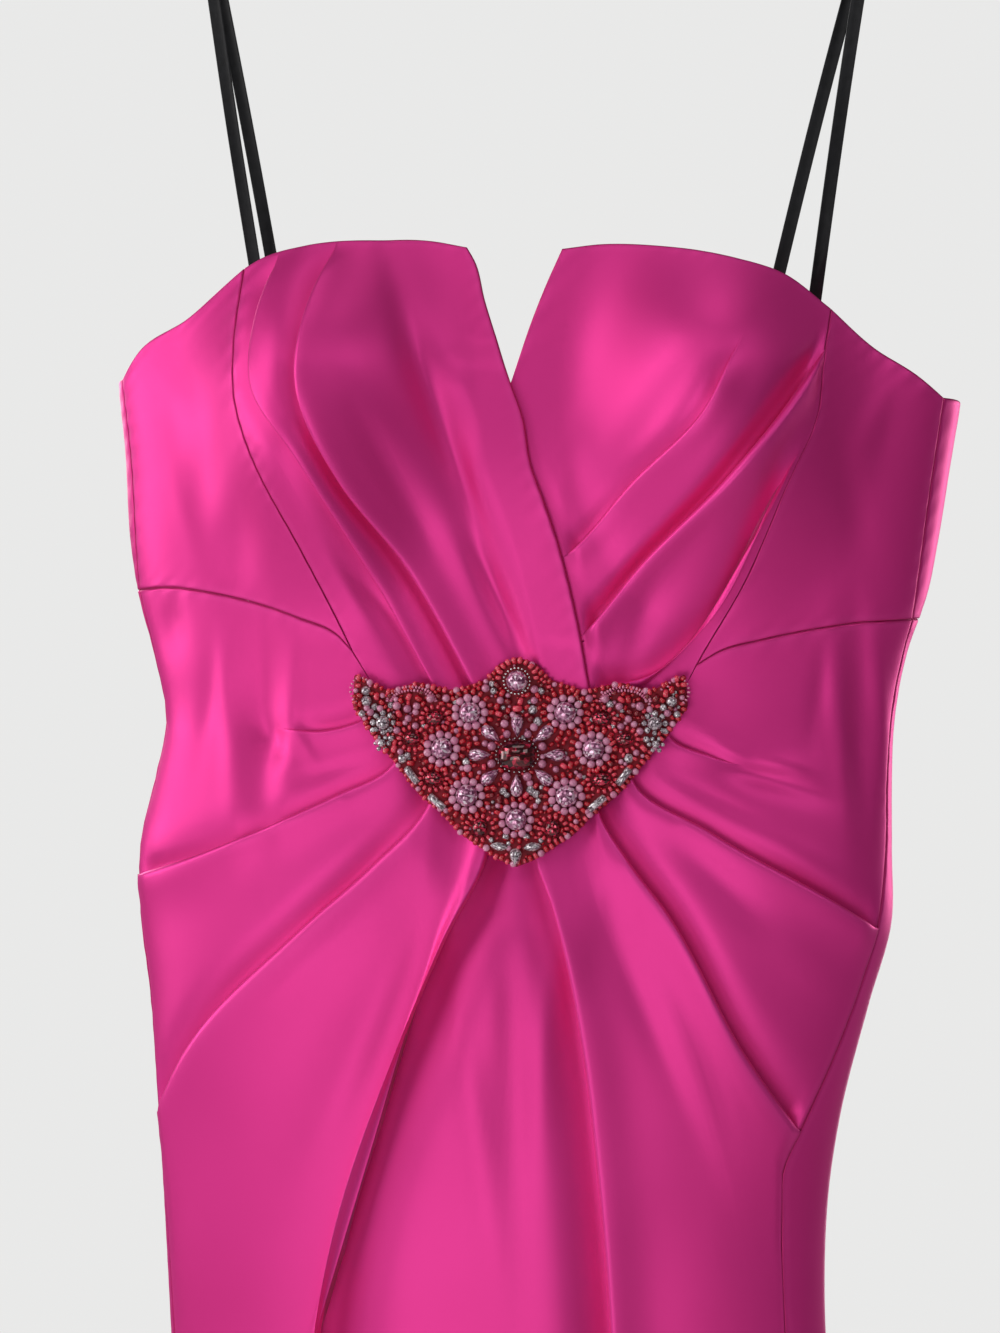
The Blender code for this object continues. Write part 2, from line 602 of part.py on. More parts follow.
# The skirt
def make_skirt():
    arc = Edge(WAIST_ARC)
    hem = [HIP_SEAM_LEFT[-1], HIP_SEAM_RIGHT[-1]]
    rim = Edge(HIP_SEAM_LEFT, hem, list(reversed(HIP_SEAM_RIGHT)))
    none = (0, 0, 0, 1, 1, 999)
    guides = (
        (0.0, 0.0, [], *none, 1),
        (arc.find(0, 0, -66), rim.find(0, 1, 238), [(-80, 237), (-98, 242), (-119, 241), (-150, 238)],
         1, 2.0, 2.5, 9, 6, 62, 1),
        (arc.find(0, 0, -52), rim.find(0, 1, 316), [(-65, 260), (-91, 273.5), (-142, 296), (-170, 306.5)],
         1, 3.6, 3.5, 13, 8, 999, 2),
        (arc.find(0, 0, -38), rim.find(0, 1, 436), [(-46, 278), (-73, 307), (-108, 338), (-171, 402.5)],
         1, 3.2, 4.5, 14, 10, 999, 3),
        (arc.find(0, 0, -25), 1.0, [(-32, 300), (-66, 420), (-125, 620)], *none, 2),
        (arc.find(0, 0, -12), rim.find(1, 0, -100), [(-17, 303), (-38, 345), (-58, 390), (-84, 457)],
         -1, 3.6, 9.0, 14, 17, 9999, 3),
        (arc.find(0, 0, 6), rim.find(1, 0, 52), [(6, 301), (15, 326), (30, 397), (36, 449)],
         1, 3.4, 8.0, 14, 15, 9999, 2),
        (arc.find(0, 0, 24), 2.0, [(30, 300), (74, 420), (116, 620)], *none, 3),
        (arc.find(0, 0, 38), rim.find(2, 1, 434), [(37, 279), (52, 304), (70, 327.5), (108, 397)],
         -1, 3.4, 5.0, 13, 9, 999, 2),
        (arc.find(0, 0, 52), rim.find(2, 1, 337), [(53, 264), (91, 290), (151, 324.5)],
         -1, 3.8, 3.5, 13, 8, 999, 1),
        (arc.find(0, 0, 66), rim.find(2, 1, 275), [(72, 245), (91, 253.5), (102, 257), (140, 268)],
         -1, 2.2, 2.5, 9, 6, 52, 1),
        (1.0, 3.0, [], *none, 0),
    )
    waists = []
    for corner, waist in ((CORNER_LEFT, WAIST_LEFT), (CORNER_RIGHT, WAIST_RIGHT)):
        waists.append(np.concatenate([line([corner, waist[0]], [0, 0.5]), line(waist, WAIST_STEPS)]))
    x, below, rise, hollow, places = fan(arc, rim, guides, ROWS_SKIRT, *waists)
    points, outward = skin(x, below)
    soft = soft_rise(x, below)
    rise = under_motif(x, below, rise + np.maximum(soft, 0)) + np.minimum(soft, 0)
    wall("skirt_front", points, outward, rise, hollow + np.minimum(soft, 0), SKIRT_WALL, SATIN)
    foot = np.stack([x[-1], below[-1]], -1)
    apart = np.concatenate([[True], np.linalg.norm(np.diff(foot, axis=0), axis=1) > 2 * FOLD_STEP + 0.1])
    for name, side in (("skirt_back_left", places <= 1), ("skirt_back_right", places >= 2)):
        seam = foot[side & apart]
        seam = seam[np.argsort(seam[:, 1])]
        round_back(name, with_zip_rows(seam), BACK_WAIST, HEM, SKIRT_WALL)


def with_zip_rows(seam):
    """Add the two rows between which the back seam closes below the zip."""
    share = (np.array([ZIP_END + 2, ZIP_END + 2 + ZIP_CLOSE]) - BACK_WAIST) / (HEM - BACK_WAIST)
    below = np.sort(np.concatenate([seam[:, 1], seam[0, 1] + share * (HEM - seam[0, 1])]))
    return np.stack([np.interp(below, seam[:, 1], seam[:, 0]), below], -1)


# The ornament
def motif_outline():
    right = [MOTIF_TOP, *MOTIF_HALF, MOTIF_TAIL]
    left = [(-x, y) for x, y in reversed(MOTIF_HALF)]
    return np.array(right + left, float)


def make_motif_backing():
    """Stiff ground of the ornament, laid over the cloth: rings of points from its heart out to its outline."""
    outline = motif_outline()
    heart = np.array(MOTIF_HEART, float)
    rings = [heart[None]]
    rings += [heart + (outline - heart) * share for share in MOTIF_RINGS]
    flat = np.concatenate(rings)
    points, outward = skin(MOTIF_AT[0] + flat[:, 0], MOTIF_AT[1] + flat[:, 1])
    upper = points + outward * MOTIF_FACE
    lower = points + outward * MOTIF_UNDERSIDE
    count = len(outline)
    total = len(flat)
    faces = []
    for i in range(count):
        j = (i + 1) % count
        faces.append((0, 1 + i, 1 + j))
        for ring in range(len(MOTIF_RINGS) - 1):
            inner, outer = 1 + ring * count, 1 + (ring + 1) * count
            faces.append((inner + i, outer + i, outer + j))
            faces.append((inner + i, outer + j, inner + j))
        edge = 1 + (len(MOTIF_RINGS) - 1) * count
        faces.append((edge + i, edge + i + total, edge + j + total))
        faces.append((edge + i, edge + j + total, edge + j))
    under = [tuple(v + total for v in reversed(face)) for face in faces if max(face) < total]
    add_object("motif_backing", world(np.concatenate([upper, lower])), faces + under, ((0.62, 0.05, 0.16), 0.5))


def gem_outline(kind, sides):
    """Outline of a cut stone, one unit long each way from its middle."""
    turn = np.arange(sides) * 2 * math.pi / sides
    along, across = np.cos(turn), np.sin(turn)
    if kind == "drop":
        across = across * np.sin(turn / 2) * 1.25
    if kind == "navette":
        across = across * np.sqrt(np.abs(across))
    if kind == "cushion":
        size = (np.abs(along) ** 3.2 + np.abs(across) ** 3.2) ** (1 / 3.2)
        along, across = along / size, across / size
    return along, across


def make_gem(name, right, down, kind, half_length, half_width, height, turned, look):
    """A cut stone that stands on the ornament's ground."""
    sides = 12 if kind == "cushion" else 8
    along, across = gem_outline(kind, sides)
    angle = math.radians(turned)
    wide = along * half_length
    tall = across * half_width
    flat_x = wide * math.cos(angle) - tall * math.sin(angle)
    flat_below = wide * math.sin(angle) + tall * math.cos(angle)
    seat, outward = skin(np.array([MOTIF_AT[0] + right]), np.array([MOTIF_AT[1] + down]))
    up = outward[0]
    side = np.cross(up, [0, 1, 0])
    side = side / np.linalg.norm(side)
    side = side * np.sign(side[0])
    drop = np.cross(side, up)
    drop = drop * np.sign(drop[1])
    middle = seat[0] + up * (MOTIF_FACE + STONE_GAP)
    rings = []
    for share, level in ((0.88, 0.0), (1.0, 0.38), (0.58, 1.0)):
        rings.append(middle + share * (flat_x[:, None] * side + flat_below[:, None] * drop) + level * height * up)
    points = np.concatenate(rings)
    faces = [tuple(range(sides)), tuple(range(2 * sides, 3 * sides))]
    for ring in (0, sides):
        for i in range(sides):
            j = (i + 1) % sides
            faces.append((ring + i, ring + j, ring + sides + j, ring + sides + i))
    add_object(name, world(points), faces, look, round_faces=False)


def make_stones():
    red = ((0.35, 0.01, 0.04), 0.08)
    pale = ((0.90, 0.62, 0.72), 0.08)
    clear = ((0.85, 0.83, 0.85), 0.06)
    looks = {"centre": red, "oval": red, "rose": pale, "wing": clear, "leaf": clear, "tail": clear}
    numbers = {}
    counts = {"centre": 1, "tail": 1}
    for name, right, down, kind, half_length, half_width, height, turned, mirrored in STONES:
        for sign in (1, -1) if mirrored else (1,):
            numbers[name] = numbers.get(name, 0) + 1
            label = f"stone_{name}" if name in counts else f"stone_{name}_{numbers[name]}"
            angle = turned if sign > 0 else 180 - turned
            make_gem(label, sign * right, down, kind, half_length, half_width, height, angle, looks[name])
    for i in range(DROPS):
        turn = 2 * math.pi * i / DROPS
        right, down = DROP_RING[0] * math.cos(turn), DROP_RING[1] * math.sin(turn)
        inward = math.degrees(math.atan2(-down, -right))
        length, width, height = DROP_SIZE
        make_gem(f"stone_drop_{i + 1}", right, down, "drop", length, width, height, inward, pale)


# The zip
def back_depth(below):
    return -float(form(below)[3])


def make_box(name, centre, size, look):
    """A plain block, from its centre and size in (x, below, depth)."""
    signs = np.array([(x, y, z) for x in (-1, 1) for y in (-1, 1) for z in (-1, 1)], float)
    points = np.array(centre) + signs * np.array(size) / 2
    faces = [(0, 1, 3, 2), (4, 6, 7, 5), (0, 4, 5, 1), (2, 3, 7, 6), (0, 2, 6, 4), (1, 5, 7, 3)]
    return add_object(name, world(points), faces, look, round_faces=False)


def cylinder_across(name, radius, length, below, depth, look, sides=12):
    """A round bar along x."""
    turn = np.arange(sides) * 2 * math.pi / sides
    ends = []
    for x in (-length / 2, length / 2):
        ends.append(np.stack([np.full(sides, x), below + radius * np.cos(turn), depth + radius * np.sin(turn)], -1))
    faces = [tuple(range(sides)), tuple(range(sides, 2 * sides))]
    faces += [(i, (i + 1) % sides, sides + (i + 1) % sides, sides + i) for i in range(sides)]
    return add_object(name, world(np.concatenate(ends)), faces, look, round_faces=False)


def apply_boolean(target, cutter, operation):
    modifier = target.modifiers.new(operation.lower(), "BOOLEAN")
    modifier.operation = operation
    modifier.solver = "EXACT"
    modifier.object = cutter
    bpy.context.view_layer.objects.active = target
    bpy.ops.object.modifier_apply(modifier=modifier.name)
    bpy.data.objects.remove(cutter)


def make_zip():
    nylon = (SATIN_PINK, 0.5)
    metal = ((0.80, 0.78, 0.76), 0.3, 1.0)
    rows = np.linspace(ZIP_TOP, ZIP_END, 16)
    across = np.linspace(-ZIP_HALF, ZIP_HALF, 3)
    x, below = np.meshgrid(across, rows)
    depth = -form(below)[3]
    outer = np.stack([x, below, depth], -1)
    inner = outer + np.array([0, 0, 1.6])
    cloth_solid("zip_chain", outer, inner, nylon)

    face = min(back_depth(SLIDER_AT - 5), back_depth(SLIDER_AT + 5)) - SEAM
    pin_depth = face - 2.0 - PIN_OUT
    slider = make_box("zip_slider", (0, SLIDER_AT, face - 1.0), (7.0, 11.0, 2.0), metal)
    for side in (-1, 1):
        ear_out = PIN_OUT + 1.5
        ear = make_box("ear", (side * 2.7, SLIDER_AT - 3, face - 1.9 - ear_out / 2), (1.4, 3.6, ear_out), metal)
        apply_boolean(slider, ear, "UNION")
    pin = cylinder_across("pin", 0.65, 5.0, SLIDER_AT - 3, pin_depth, metal)
    apply_boolean(slider, pin, "UNION")

    pull_middle = SLIDER_AT - 3 + PULL_LENGTH / 2 - 1.9
    pull = make_box("zip_pull", (0, pull_middle, pin_depth), (3.2, PULL_LENGTH, 1.5 + 1.0), metal)
    eye = cylinder_across("eye", 0.95, 8.0, SLIDER_AT - 3, pin_depth, metal)
    apply_boolean(pull, eye, "DIFFERENCE")
    return world(np.array([0, SLIDER_AT - 3, pin_depth]))


# The tape loops
def make_loop(name, side, lower_front, lower_behind):
    """A tape that runs up from inside the back, over the hanger's notch, and down again."""
    tall = ARM_TALL / 2 + TAPE_CLEAR + TAPE_THICK / 2
    half = ARM_THICK / 2 + TAPE_CLEAR + TAPE_THICK / 2
    foot = TAPE_FOOT
    inside = BODICE_WALL + SEAM + TAPE_THICK / 2
    ends = []
    for x in (lower_front, lower_behind):
        left, right, _, back = form(foot)
        reach = left if x < 0 else right
        ends.append(-float(back * (1 - (abs(x) / reach) ** ROUNDNESS) ** (1 / ROUNDNESS)) + inside + TAPE_SPARE)
    top_x = side * NOTCH_X
    front = [(lower_front, foot, ends[0]), (lower_front + 0.14 * (top_x - lower_front), 60, ends[0] + 2.5)]
    front += [(lower_front + 0.62 * (top_x - lower_front), -70, half + 1), (top_x, NOTCH_BELOW + 8, half)]
    behind = [(lower_behind, foot, ends[1]), (lower_behind + 0.14 * (top_x - lower_behind), 60, ends[1] + 2.0)]
    behind += [(lower_behind + 0.62 * (top_x - lower_behind), -70, -half - 1), (top_x, NOTCH_BELOW + 8, -half)]
    over = []
    for turn in np.linspace(0, math.pi, 10):
        across = math.copysign(abs(math.cos(turn)) ** ARM_CORNER, math.cos(turn))
        over.append((top_x, NOTCH_BELOW - tall * abs(math.sin(turn)) ** ARM_CORNER, half * across))
    up = line(front, np.linspace(0, 1, 12))
    down = line(behind, np.linspace(0, 1, 12))[::-1]
    route = np.concatenate([up, np.array(over), down])
    way = np.gradient(route, axis=0)
    way = way / np.linalg.norm(way, axis=1, keepdims=True)
    wide = np.array([1.0, 0, 0]) - way * way[:, :1]
    wide = wide / np.linalg.norm(wide, axis=1, keepdims=True)
    out = np.cross(way, wide)
    out = out / np.linalg.norm(out, axis=1, keepdims=True)
    corners = []
    for a, b in ((-1, -1), (1, -1), (1, 1), (-1, 1)):
        corners.append(route + wide * a * TAPE_WIDTH / 2 + out * b * TAPE_THICK / 2)
    points = np.stack(corners, 1)
    count = len(route)
    faces = [(0, 1, 2, 3), tuple(4 * (count - 1) + k for k in range(4))]
    for i in range(count - 1):
        for k in range(4):
            m = (k + 1) % 4
            faces.append((4 * i + k, 4 * i + m, 4 * i + 4 + m, 4 * i + 4 + k))
    add_object(name, world(points.reshape(-1, 3)), faces, ((0.015, 0.015, 0.02), 0.35), round_faces=False)


# The hanger
def make_hanger_arms():
    half = np.array(ARM_LINE, float)
    other = half[:0:-1] * np.array([-1, 1, 1, 1])
    stations = np.concatenate([other, half])
    sides = 12
    turn = (np.arange(sides) + 0.5) * 2 * math.pi / sides
    across = np.sign(np.cos(turn)) * np.abs(np.cos(turn)) ** ARM_CORNER
    tall = np.sign(np.sin(turn)) * np.abs(np.sin(turn)) ** ARM_CORNER
    points = []
    for x, below, height, thick in stations:
        points.append(np.stack([np.full(sides, x), below - tall * height / 2, across * thick / 2], -1))
    faces = [tuple(range(sides)), tuple((len(stations) - 1) * sides + k for k in range(sides))]
    for i in range(len(stations) - 1):
        for k in range(sides):
            m = (k + 1) % sides
            faces.append((i * sides + k, i * sides + m, (i + 1) * sides + m, (i + 1) * sides + k))
    add_object("hanger_arms", world(np.concatenate(points)), faces, ((0.55, 0.38, 0.22), 0.45))


def make_hanger_hook():
    """Bent wire hook that stands on the arms, with a ferrule round its foot."""
    ring = HOOK_INNER + HOOK_WIRE / 2
    middle = HOOK_INNER
    foot = -(CUP_TOPS + NECK_TOP) + SEAM
    route = [(0, foot), (0, foot + 8), (3.5, -50)]
    for degrees in (-38, -12, 14, 40, 66, 92, 118, 144, 170, 196):
        turn = math.radians(degrees)
        route.append((ring * math.cos(turn), ring * math.sin(turn) - middle))
    path = line(np.array(route), np.linspace(0, 1, 44))
    curve = bpy.data.curves.new("hanger_hook", "CURVE")
    curve.dimensions = "3D"
    curve.bevel_depth = HOOK_WIRE / 2 * MM
    curve.bevel_resolution = 2
    curve.use_fill_caps = True
    spline = curve.splines.new("POLY")
    spline.points.add(len(path) - 1)
    for point, (x, z) in zip(spline.points, path):
        point.co = (x * MM, 0.0, z * MM, 1.0)
    hook = bpy.data.objects.new("hanger_hook", curve)
    bpy.context.collection.objects.link(hook)
    curve.materials.append(finish("hanger_hook", (0.75, 0.75, 0.77), 0.2, 1.0))


def clear_scene():
    for thing in list(bpy.data.objects):
        bpy.data.objects.remove(thing)


def main():
    clear_scene()
    make_bodice()
    make_skirt()
    make_motif_backing()
    make_stones()
    pin = make_zip()
    for tape in TAPES:
        make_loop(*tape)
    make_hanger_arms()
    make_hanger_hook()
    print("zip pull's hinge", [round(float(v), 5) for v in pin])


main()
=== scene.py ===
# %% [markdown]
# # A strapless satin dress on its hanger
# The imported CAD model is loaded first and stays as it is. Each cloth panel, stone and tape then gets a
# finer piece that lies in the place of its solid. Sizes are worked out in millimetres: x to the right,
# below = down from the tops of the cups, depth = forwards. The dress is made as one of duchess satin would
# be, and hangs by two tapes.

# %% Load the frame
import math
from collections import namedtuple

import bpy
import numpy as np
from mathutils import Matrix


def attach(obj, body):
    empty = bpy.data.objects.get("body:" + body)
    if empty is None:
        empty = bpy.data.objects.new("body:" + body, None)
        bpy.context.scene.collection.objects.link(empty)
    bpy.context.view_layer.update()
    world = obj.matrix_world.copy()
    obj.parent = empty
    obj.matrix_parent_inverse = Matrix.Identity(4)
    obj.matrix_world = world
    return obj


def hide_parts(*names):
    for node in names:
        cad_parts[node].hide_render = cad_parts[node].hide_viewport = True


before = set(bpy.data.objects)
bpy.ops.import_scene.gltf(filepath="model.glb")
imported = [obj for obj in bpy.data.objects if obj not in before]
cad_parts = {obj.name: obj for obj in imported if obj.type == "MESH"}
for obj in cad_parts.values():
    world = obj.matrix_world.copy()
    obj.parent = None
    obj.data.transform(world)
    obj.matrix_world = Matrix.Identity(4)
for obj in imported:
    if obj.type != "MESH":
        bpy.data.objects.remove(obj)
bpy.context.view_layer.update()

MM = 0.001
CUP_TOPS = 320.0

# %% [markdown]
# The camera comes first, because everything is judged from it. The picture was taken level with the waist
# and a little from the right, so the camera is turned by eight degrees and isn't tilted.

# %% Camera
TURN = math.radians(8)
camera = bpy.data.objects.new("camera", bpy.data.cameras.new("camera"))
camera.location = (0.1504, -1.1907, -0.5308)
camera.rotation_euler = (math.radians(90), 0, TURN)
camera.data.lens = 64.8
camera.data.sensor_width = 36
bpy.context.collection.objects.link(camera)
bpy.context.scene.camera = camera
bpy.context.scene.view_settings.view_transform = "Standard"
print("camera", tuple(round(v, 3) for v in camera.location))

# %% [markdown]
# Satin shows its form through soft highlights, so wide windows of light stand on the left and in front, and
# weaker ones on the right and above. Three more stand behind, for the back. The surroundings look paler
# than they shine.

# %% Light
def soft_light(name, place, aim, wide, tall, power, colour):
    """A window of light: a flat rectangle at place that faces the point aim."""
    data = bpy.data.lights.new(name, "AREA")
    data.shape = "RECTANGLE"
    data.size = wide
    data.size_y = tall
    data.energy = power
    data.color = colour
    lamp = bpy.data.objects.new(name, data)
    way = np.array(aim, float) - np.array(place, float)
    flat = math.hypot(way[0], way[1])
    lamp.location = place
    lamp.rotation_euler = (math.atan2(flat, -way[2]), 0, math.atan2(way[1], way[0]) - math.pi / 2)
    lamp.visible_camera = False
    bpy.context.collection.objects.link(lamp)


WAIST = (0, 0, -0.56)
WHITE = (1.0, 1.0, 1.0)
LIGHTS = (
    # name, place, width, height, power in watts, colour
    ("window_left", (-1.5, -1.15, 0.25), 0.8, 1.1, 8.5, (1.0, 0.985, 0.97)),
    ("wall_left", (-1.9, -0.35, -0.5), 0.6, 0.8, 7.5, (1.0, 0.99, 0.98)),
    ("low_left", (-1.6, -0.9, -0.6), 1.0, 1.0, 3.0, WHITE),
    ("low_front", (-0.4, -2.0, -1.2), 1.2, 0.8, 8.0, WHITE),
    ("window_front", (-0.3, -2.2, 0.75), 1.2, 0.7, 3.5, WHITE),
    ("window_right", (1.2, -1.6, 0.3), 0.8, 0.8, 4.5, (0.97, 0.98, 1.0)),
    ("over_head", (0.0, -0.7, 0.9), 0.8, 0.5, 2.0, WHITE),
    ("behind_left", (-1.5, 1.4, 0.2), 0.8, 1.1, 16, WHITE),
    ("behind_right", (1.5, 1.3, -0.5), 0.9, 0.9, 11, WHITE),
    ("behind_low", (0.3, 2.1, -1.1), 1.2, 0.6, 7, WHITE),
)
for name, place, wide, tall, power, colour in LIGHTS:
    soft_light(name, place, WAIST, wide, tall, power, colour)

BACKDROP = (0.815, 0.815, 0.81, 1)
ROOM_LIGHT = (0.80, 0.80, 0.82, 1)
ROOM_STRENGTH = 0.1
world = bpy.data.worlds.new("pale room")
world.use_nodes = True
bpy.context.scene.world = world
room = world.node_tree
seen = room.nodes["Background"]
seen.inputs["Color"].default_value = BACKDROP
shining = room.nodes.new("ShaderNodeBackground")
shining.inputs["Color"].default_value = ROOM_LIGHT
shining.inputs["Strength"].default_value = ROOM_STRENGTH
path = room.nodes.new("ShaderNodeLightPath")
mix = room.nodes.new("ShaderNodeMixShader")
room.links.new(path.outputs["Is Camera Ray"], mix.inputs["Fac"])
room.links.new(shining.outputs["Background"], mix.inputs[1])
room.links.new(seen.outputs["Background"], mix.inputs[2])
room.links.new(mix.outputs["Shader"], room.nodes["World Output"].inputs["Surface"])

# %% [markdown]
# Every finish is a Principled shader with a procedural pattern. Levels that are the same all over, such as
# sheen and coat, are set on the shader's own sockets, and only colour, roughness and bump come from nodes.

# %% Finishes: helpers
def add_node(tree, kind, sockets=None, **options):
    """Adds a node; options are its own settings, and sockets are the values of its inputs."""
    made = tree.nodes.new(kind)
    for name, value in options.items():
        setattr(made, name, value)
    for name, value in (sockets or {}).items():
        made.inputs[name].default_value = value
    return made


def join(tree, start, end):
    """Links (node, output) to (node, input)."""
    tree.links.new(start[0].outputs[start[1]], end[0].inputs[end[1]])


def new_finish(name, colour, roughness, levels=None):
    """A Principled material with its even levels set straight on the shader's sockets."""
    made = bpy.data.materials.new(name)
    made.use_nodes = True
    shader = made.node_tree.nodes["Principled BSDF"]
    shader.inputs["Base Color"].default_value = (*colour, 1)
    shader.inputs["Roughness"].default_value = roughness
    for socket, level in (levels or {}).items():
        shader.inputs[socket].default_value = level
    return made, made.node_tree, shader


def mottle(tree, shader, first, second, scale, source=None, detail=3.0):
    """Colour between two shades that follows a soft noise in object coordinates, or in the source given."""
    if source is None:
        source = (add_node(tree, "ShaderNodeTexCoord"), "Object")
    noise = add_node(tree, "ShaderNodeTexNoise", {"Scale": scale, "Detail": detail, "Roughness": 0.55})
    join(tree, source, (noise, "Vector"))
    ramp = add_node(tree, "ShaderNodeValToRGB")
    ramp.color_ramp.elements[0].position = 0.32
    ramp.color_ramp.elements[1].position = 0.68
    ramp.color_ramp.elements[0].color = (*first, 1)
    ramp.color_ramp.elements[1].color = (*second, 1)
    join(tree, (noise, "Fac"), (ramp, "Fac"))
    join(tree, (ramp, "Color"), (shader, "Base Color"))
    return noise, ramp


def bump(tree, shader, height, strength, distance):
    """Surface relief from a node's output; distance is the relief's height in metres."""
    made = add_node(tree, "ShaderNodeBump", {"Strength": strength, "Distance": distance})
    join(tree, height, (made, "Height"))
    join(tree, (made, "Normal"), (shader, "Normal"))


# %% [markdown]
# Duchess satin has long shiny floats over a fine twill. Its pattern follows the cloth's own UV map, which
# is in metres. The floats make the shine longer one way, which is what anisotropy does. Lips of folds get
# a painted highlight and a band beside each seam is a little paler; seams themselves get painted shade and
# are a little darker. Both come from attributes that each panel stores.

# %% Finishes: satin and lining
TWILL_STEP = 0.00055
TWILL_TURN = math.radians(62)
FLOAT_SCALE = (2600, 420, 1)
WAVE_TURN = 2 * math.pi / 20


def satin_finish(name, shades, lip, groove, roughness, gleam):
    """Satin: mottled colour, painted highlight on lips and paler seam bands, painted shade in grooves, a
    twill and its floats as relief.

    gleam is how far its highlights take the colour of the thread.
    """
    levels = {
        "Anisotropic": 0.35, "Sheen Weight": 0.06, "Sheen Roughness": 0.35, "Metallic": gleam,
        "Sheen Tint": (1.0, 0.55, 0.78, 1), "Specular IOR Level": 0.4,
        "Specular Tint": (1.0, 0.72, 0.86, 1),
    }
    made, tree, shader = new_finish(name, shades[0], roughness, levels)
    _, ramp = mottle(tree, shader, *shades, 6.0)
    # Painted highlight pales the lips of folds and a band beside each seam; painted shade darkens the seam
    # grooves.
    lip_highlight_seam_band = add_node(tree, "ShaderNodeAttribute", attribute_name="lip_highlight_seam_band")
    paler = add_node(tree, "ShaderNodeMix", data_type="RGBA")
    # Inputs 6 and 7 and output 2 of a mix node are its colours
    join(tree, (lip_highlight_seam_band, "Fac"), (paler, "Factor"))
    join(tree, (ramp, "Color"), (paler, 6))
    paler.inputs[7].default_value = (*lip, 1)
    sunk = add_node(tree, "ShaderNodeAttribute", attribute_name="sunk")
    darker = add_node(tree, "ShaderNodeMix", data_type="RGBA")
    darker.inputs[7].default_value = (*groove, 1)
    join(tree, (sunk, "Fac"), (darker, "Factor"))
    join(tree, (paler, 2), (darker, 6))
    join(tree, (darker, 2), (shader, "Base Color"))
    cloth = (add_node(tree, "ShaderNodeUVMap", uv_map="cloth"), "UV")
    turned = add_node(tree, "ShaderNodeMapping", {"Rotation": (0, 0, TWILL_TURN)})
    join(tree, cloth, (turned, "Vector"))
    waves = {"Scale": WAVE_TURN / TWILL_STEP, "Distortion": 0.5, "Detail": 1.0}
    twill = add_node(tree, "ShaderNodeTexWave", waves)
    join(tree, (turned, "Vector"), (twill, "Vector"))
    long = add_node(tree, "ShaderNodeMapping", {"Scale": FLOAT_SCALE})
    join(tree, cloth, (long, "Vector"))
    floats = add_node(tree, "ShaderNodeTexNoise", {"Scale": 1.0, "Detail": 2.0})
    join(tree, (long, "Vector"), (floats, "Vector"))
    relief = add_node(tree, "ShaderNodeMath", operation="ADD")
    join(tree, (twill, "Fac"), (relief, 0))
    join(tree, (floats, "Fac"), (relief, 1))
    bump(tree, shader, (relief, "Value"), 0.35, 0.00004)
    grain = add_node(tree, "ShaderNodeTangent", direction_type="UV_MAP", uv_map="cloth")
    join(tree, (grain, "Tangent"), (shader, "Tangent"))
    rough = add_node(tree, "ShaderNodeMapRange", {"To Min": roughness - 0.04, "To Max": roughness + 0.06})
    join(tree, (floats, "Fac"), (rough, "Value"))
    join(tree, (rough, "Result"), (shader, "Roughness"))
    return made


# The lip colour is a painted highlight and the groove colour is painted shade.
SATIN = satin_finish("pink_satin", ((0.90, 0.045, 0.335), (0.83, 0.038, 0.295)), lip=(0.93, 0.06, 0.37),
                     groove=(0.40, 0.006, 0.09), roughness=0.43, gleam=0.5)
LINING = satin_finish("pink_lining", ((0.62, 0.05, 0.22), (0.56, 0.04, 0.19)), lip=(0.66, 0.07, 0.27),
                      groove=(0.35, 0.01, 0.09), roughness=0.55, gleam=0.0)
print("cloth finishes", SATIN.name, LINING.name)

# %% [markdown]
# A piece is one mesh. Its points come as one array in metres and its faces as arrays of point numbers, so
# no loop runs over points. The piece then rides on the dress and takes the place of its CAD nodes.

# %% Meshes from arrays
def faces_out(points, faces):
    """Turns the faces of closed shells outwards, so that the volume that they enclose is positive."""
    volume = 0.0
    for f in faces:
        for k in range(1, f.shape[1] - 1):
            a, b, c = points[f[:, 0]], points[f[:, k]], points[f[:, k + 1]]
            volume += float((a * np.cross(b, c)).sum())
    return [f[:, ::-1] for f in faces] if volume < 0 else faces


def make_piece(name, points, faces, finishes, body="dress", replaces=(), uv=None, which=None,
               marks=None, round_it=True):
    """A mesh from points in metres and arrays of faces; marks are attributes of its points or its faces."""
    faces = faces_out(points, faces)
    mesh = bpy.data.meshes.new(name)
    mesh.vertices.add(len(points))
    mesh.vertices.foreach_set("co", np.asarray(points, np.float32).ravel())
    corners = np.concatenate([f.ravel() for f in faces])
    sizes = np.concatenate([np.full(len(f), f.shape[1]) for f in faces])
    mesh.loops.add(len(corners))
    mesh.loops.foreach_set("vertex_index", corners.astype(np.int32))
    mesh.polygons.add(len(sizes))
    mesh.polygons.foreach_set("loop_start", (np.cumsum(sizes) - sizes).astype(np.int32))
    mesh.update(calc_edges=True)
    for finish in finishes:
        mesh.materials.append(finish)
    if which is not None:
        mesh.polygons.foreach_set("material_index", np.asarray(which, np.int32))
    if uv is not None:
        layer = mesh.uv_layers.new(name="cloth")
        layer.data.foreach_set("uv", np.asarray(uv, np.float32)[corners].ravel())
    for label, values in (marks or {}).items():
        domain = "POINT" if len(values) == len(points) else "FACE"
        mark = mesh.attributes.new(label, "FLOAT", domain)
        mark.data.foreach_set("value", np.asarray(values, np.float32))
    if round_it:
        mesh.shade_smooth()
    thing = bpy.data.objects.new(name, mesh)
    bpy.context.collection.objects.link(thing)
    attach(thing, body)
    if replaces:
        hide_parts(*replaces)
    print(name, len(points), "points,", int((sizes - 2).sum()), "triangles")
    return thing


def grid_faces(rows, columns, closed=False):
    """Quads between neighbouring points of a grid; a closed grid joins its last column to its first too."""
    number = np.arange(rows * columns).reshape(rows, columns)
    if closed:
        number = np.concatenate([number, number[:, :1]], axis=1)
    return np.stack([number[:-1, :-1], number[:-1, 1:], number[1:, 1:], number[1:, :-1]], -1).reshape(-1, 4)


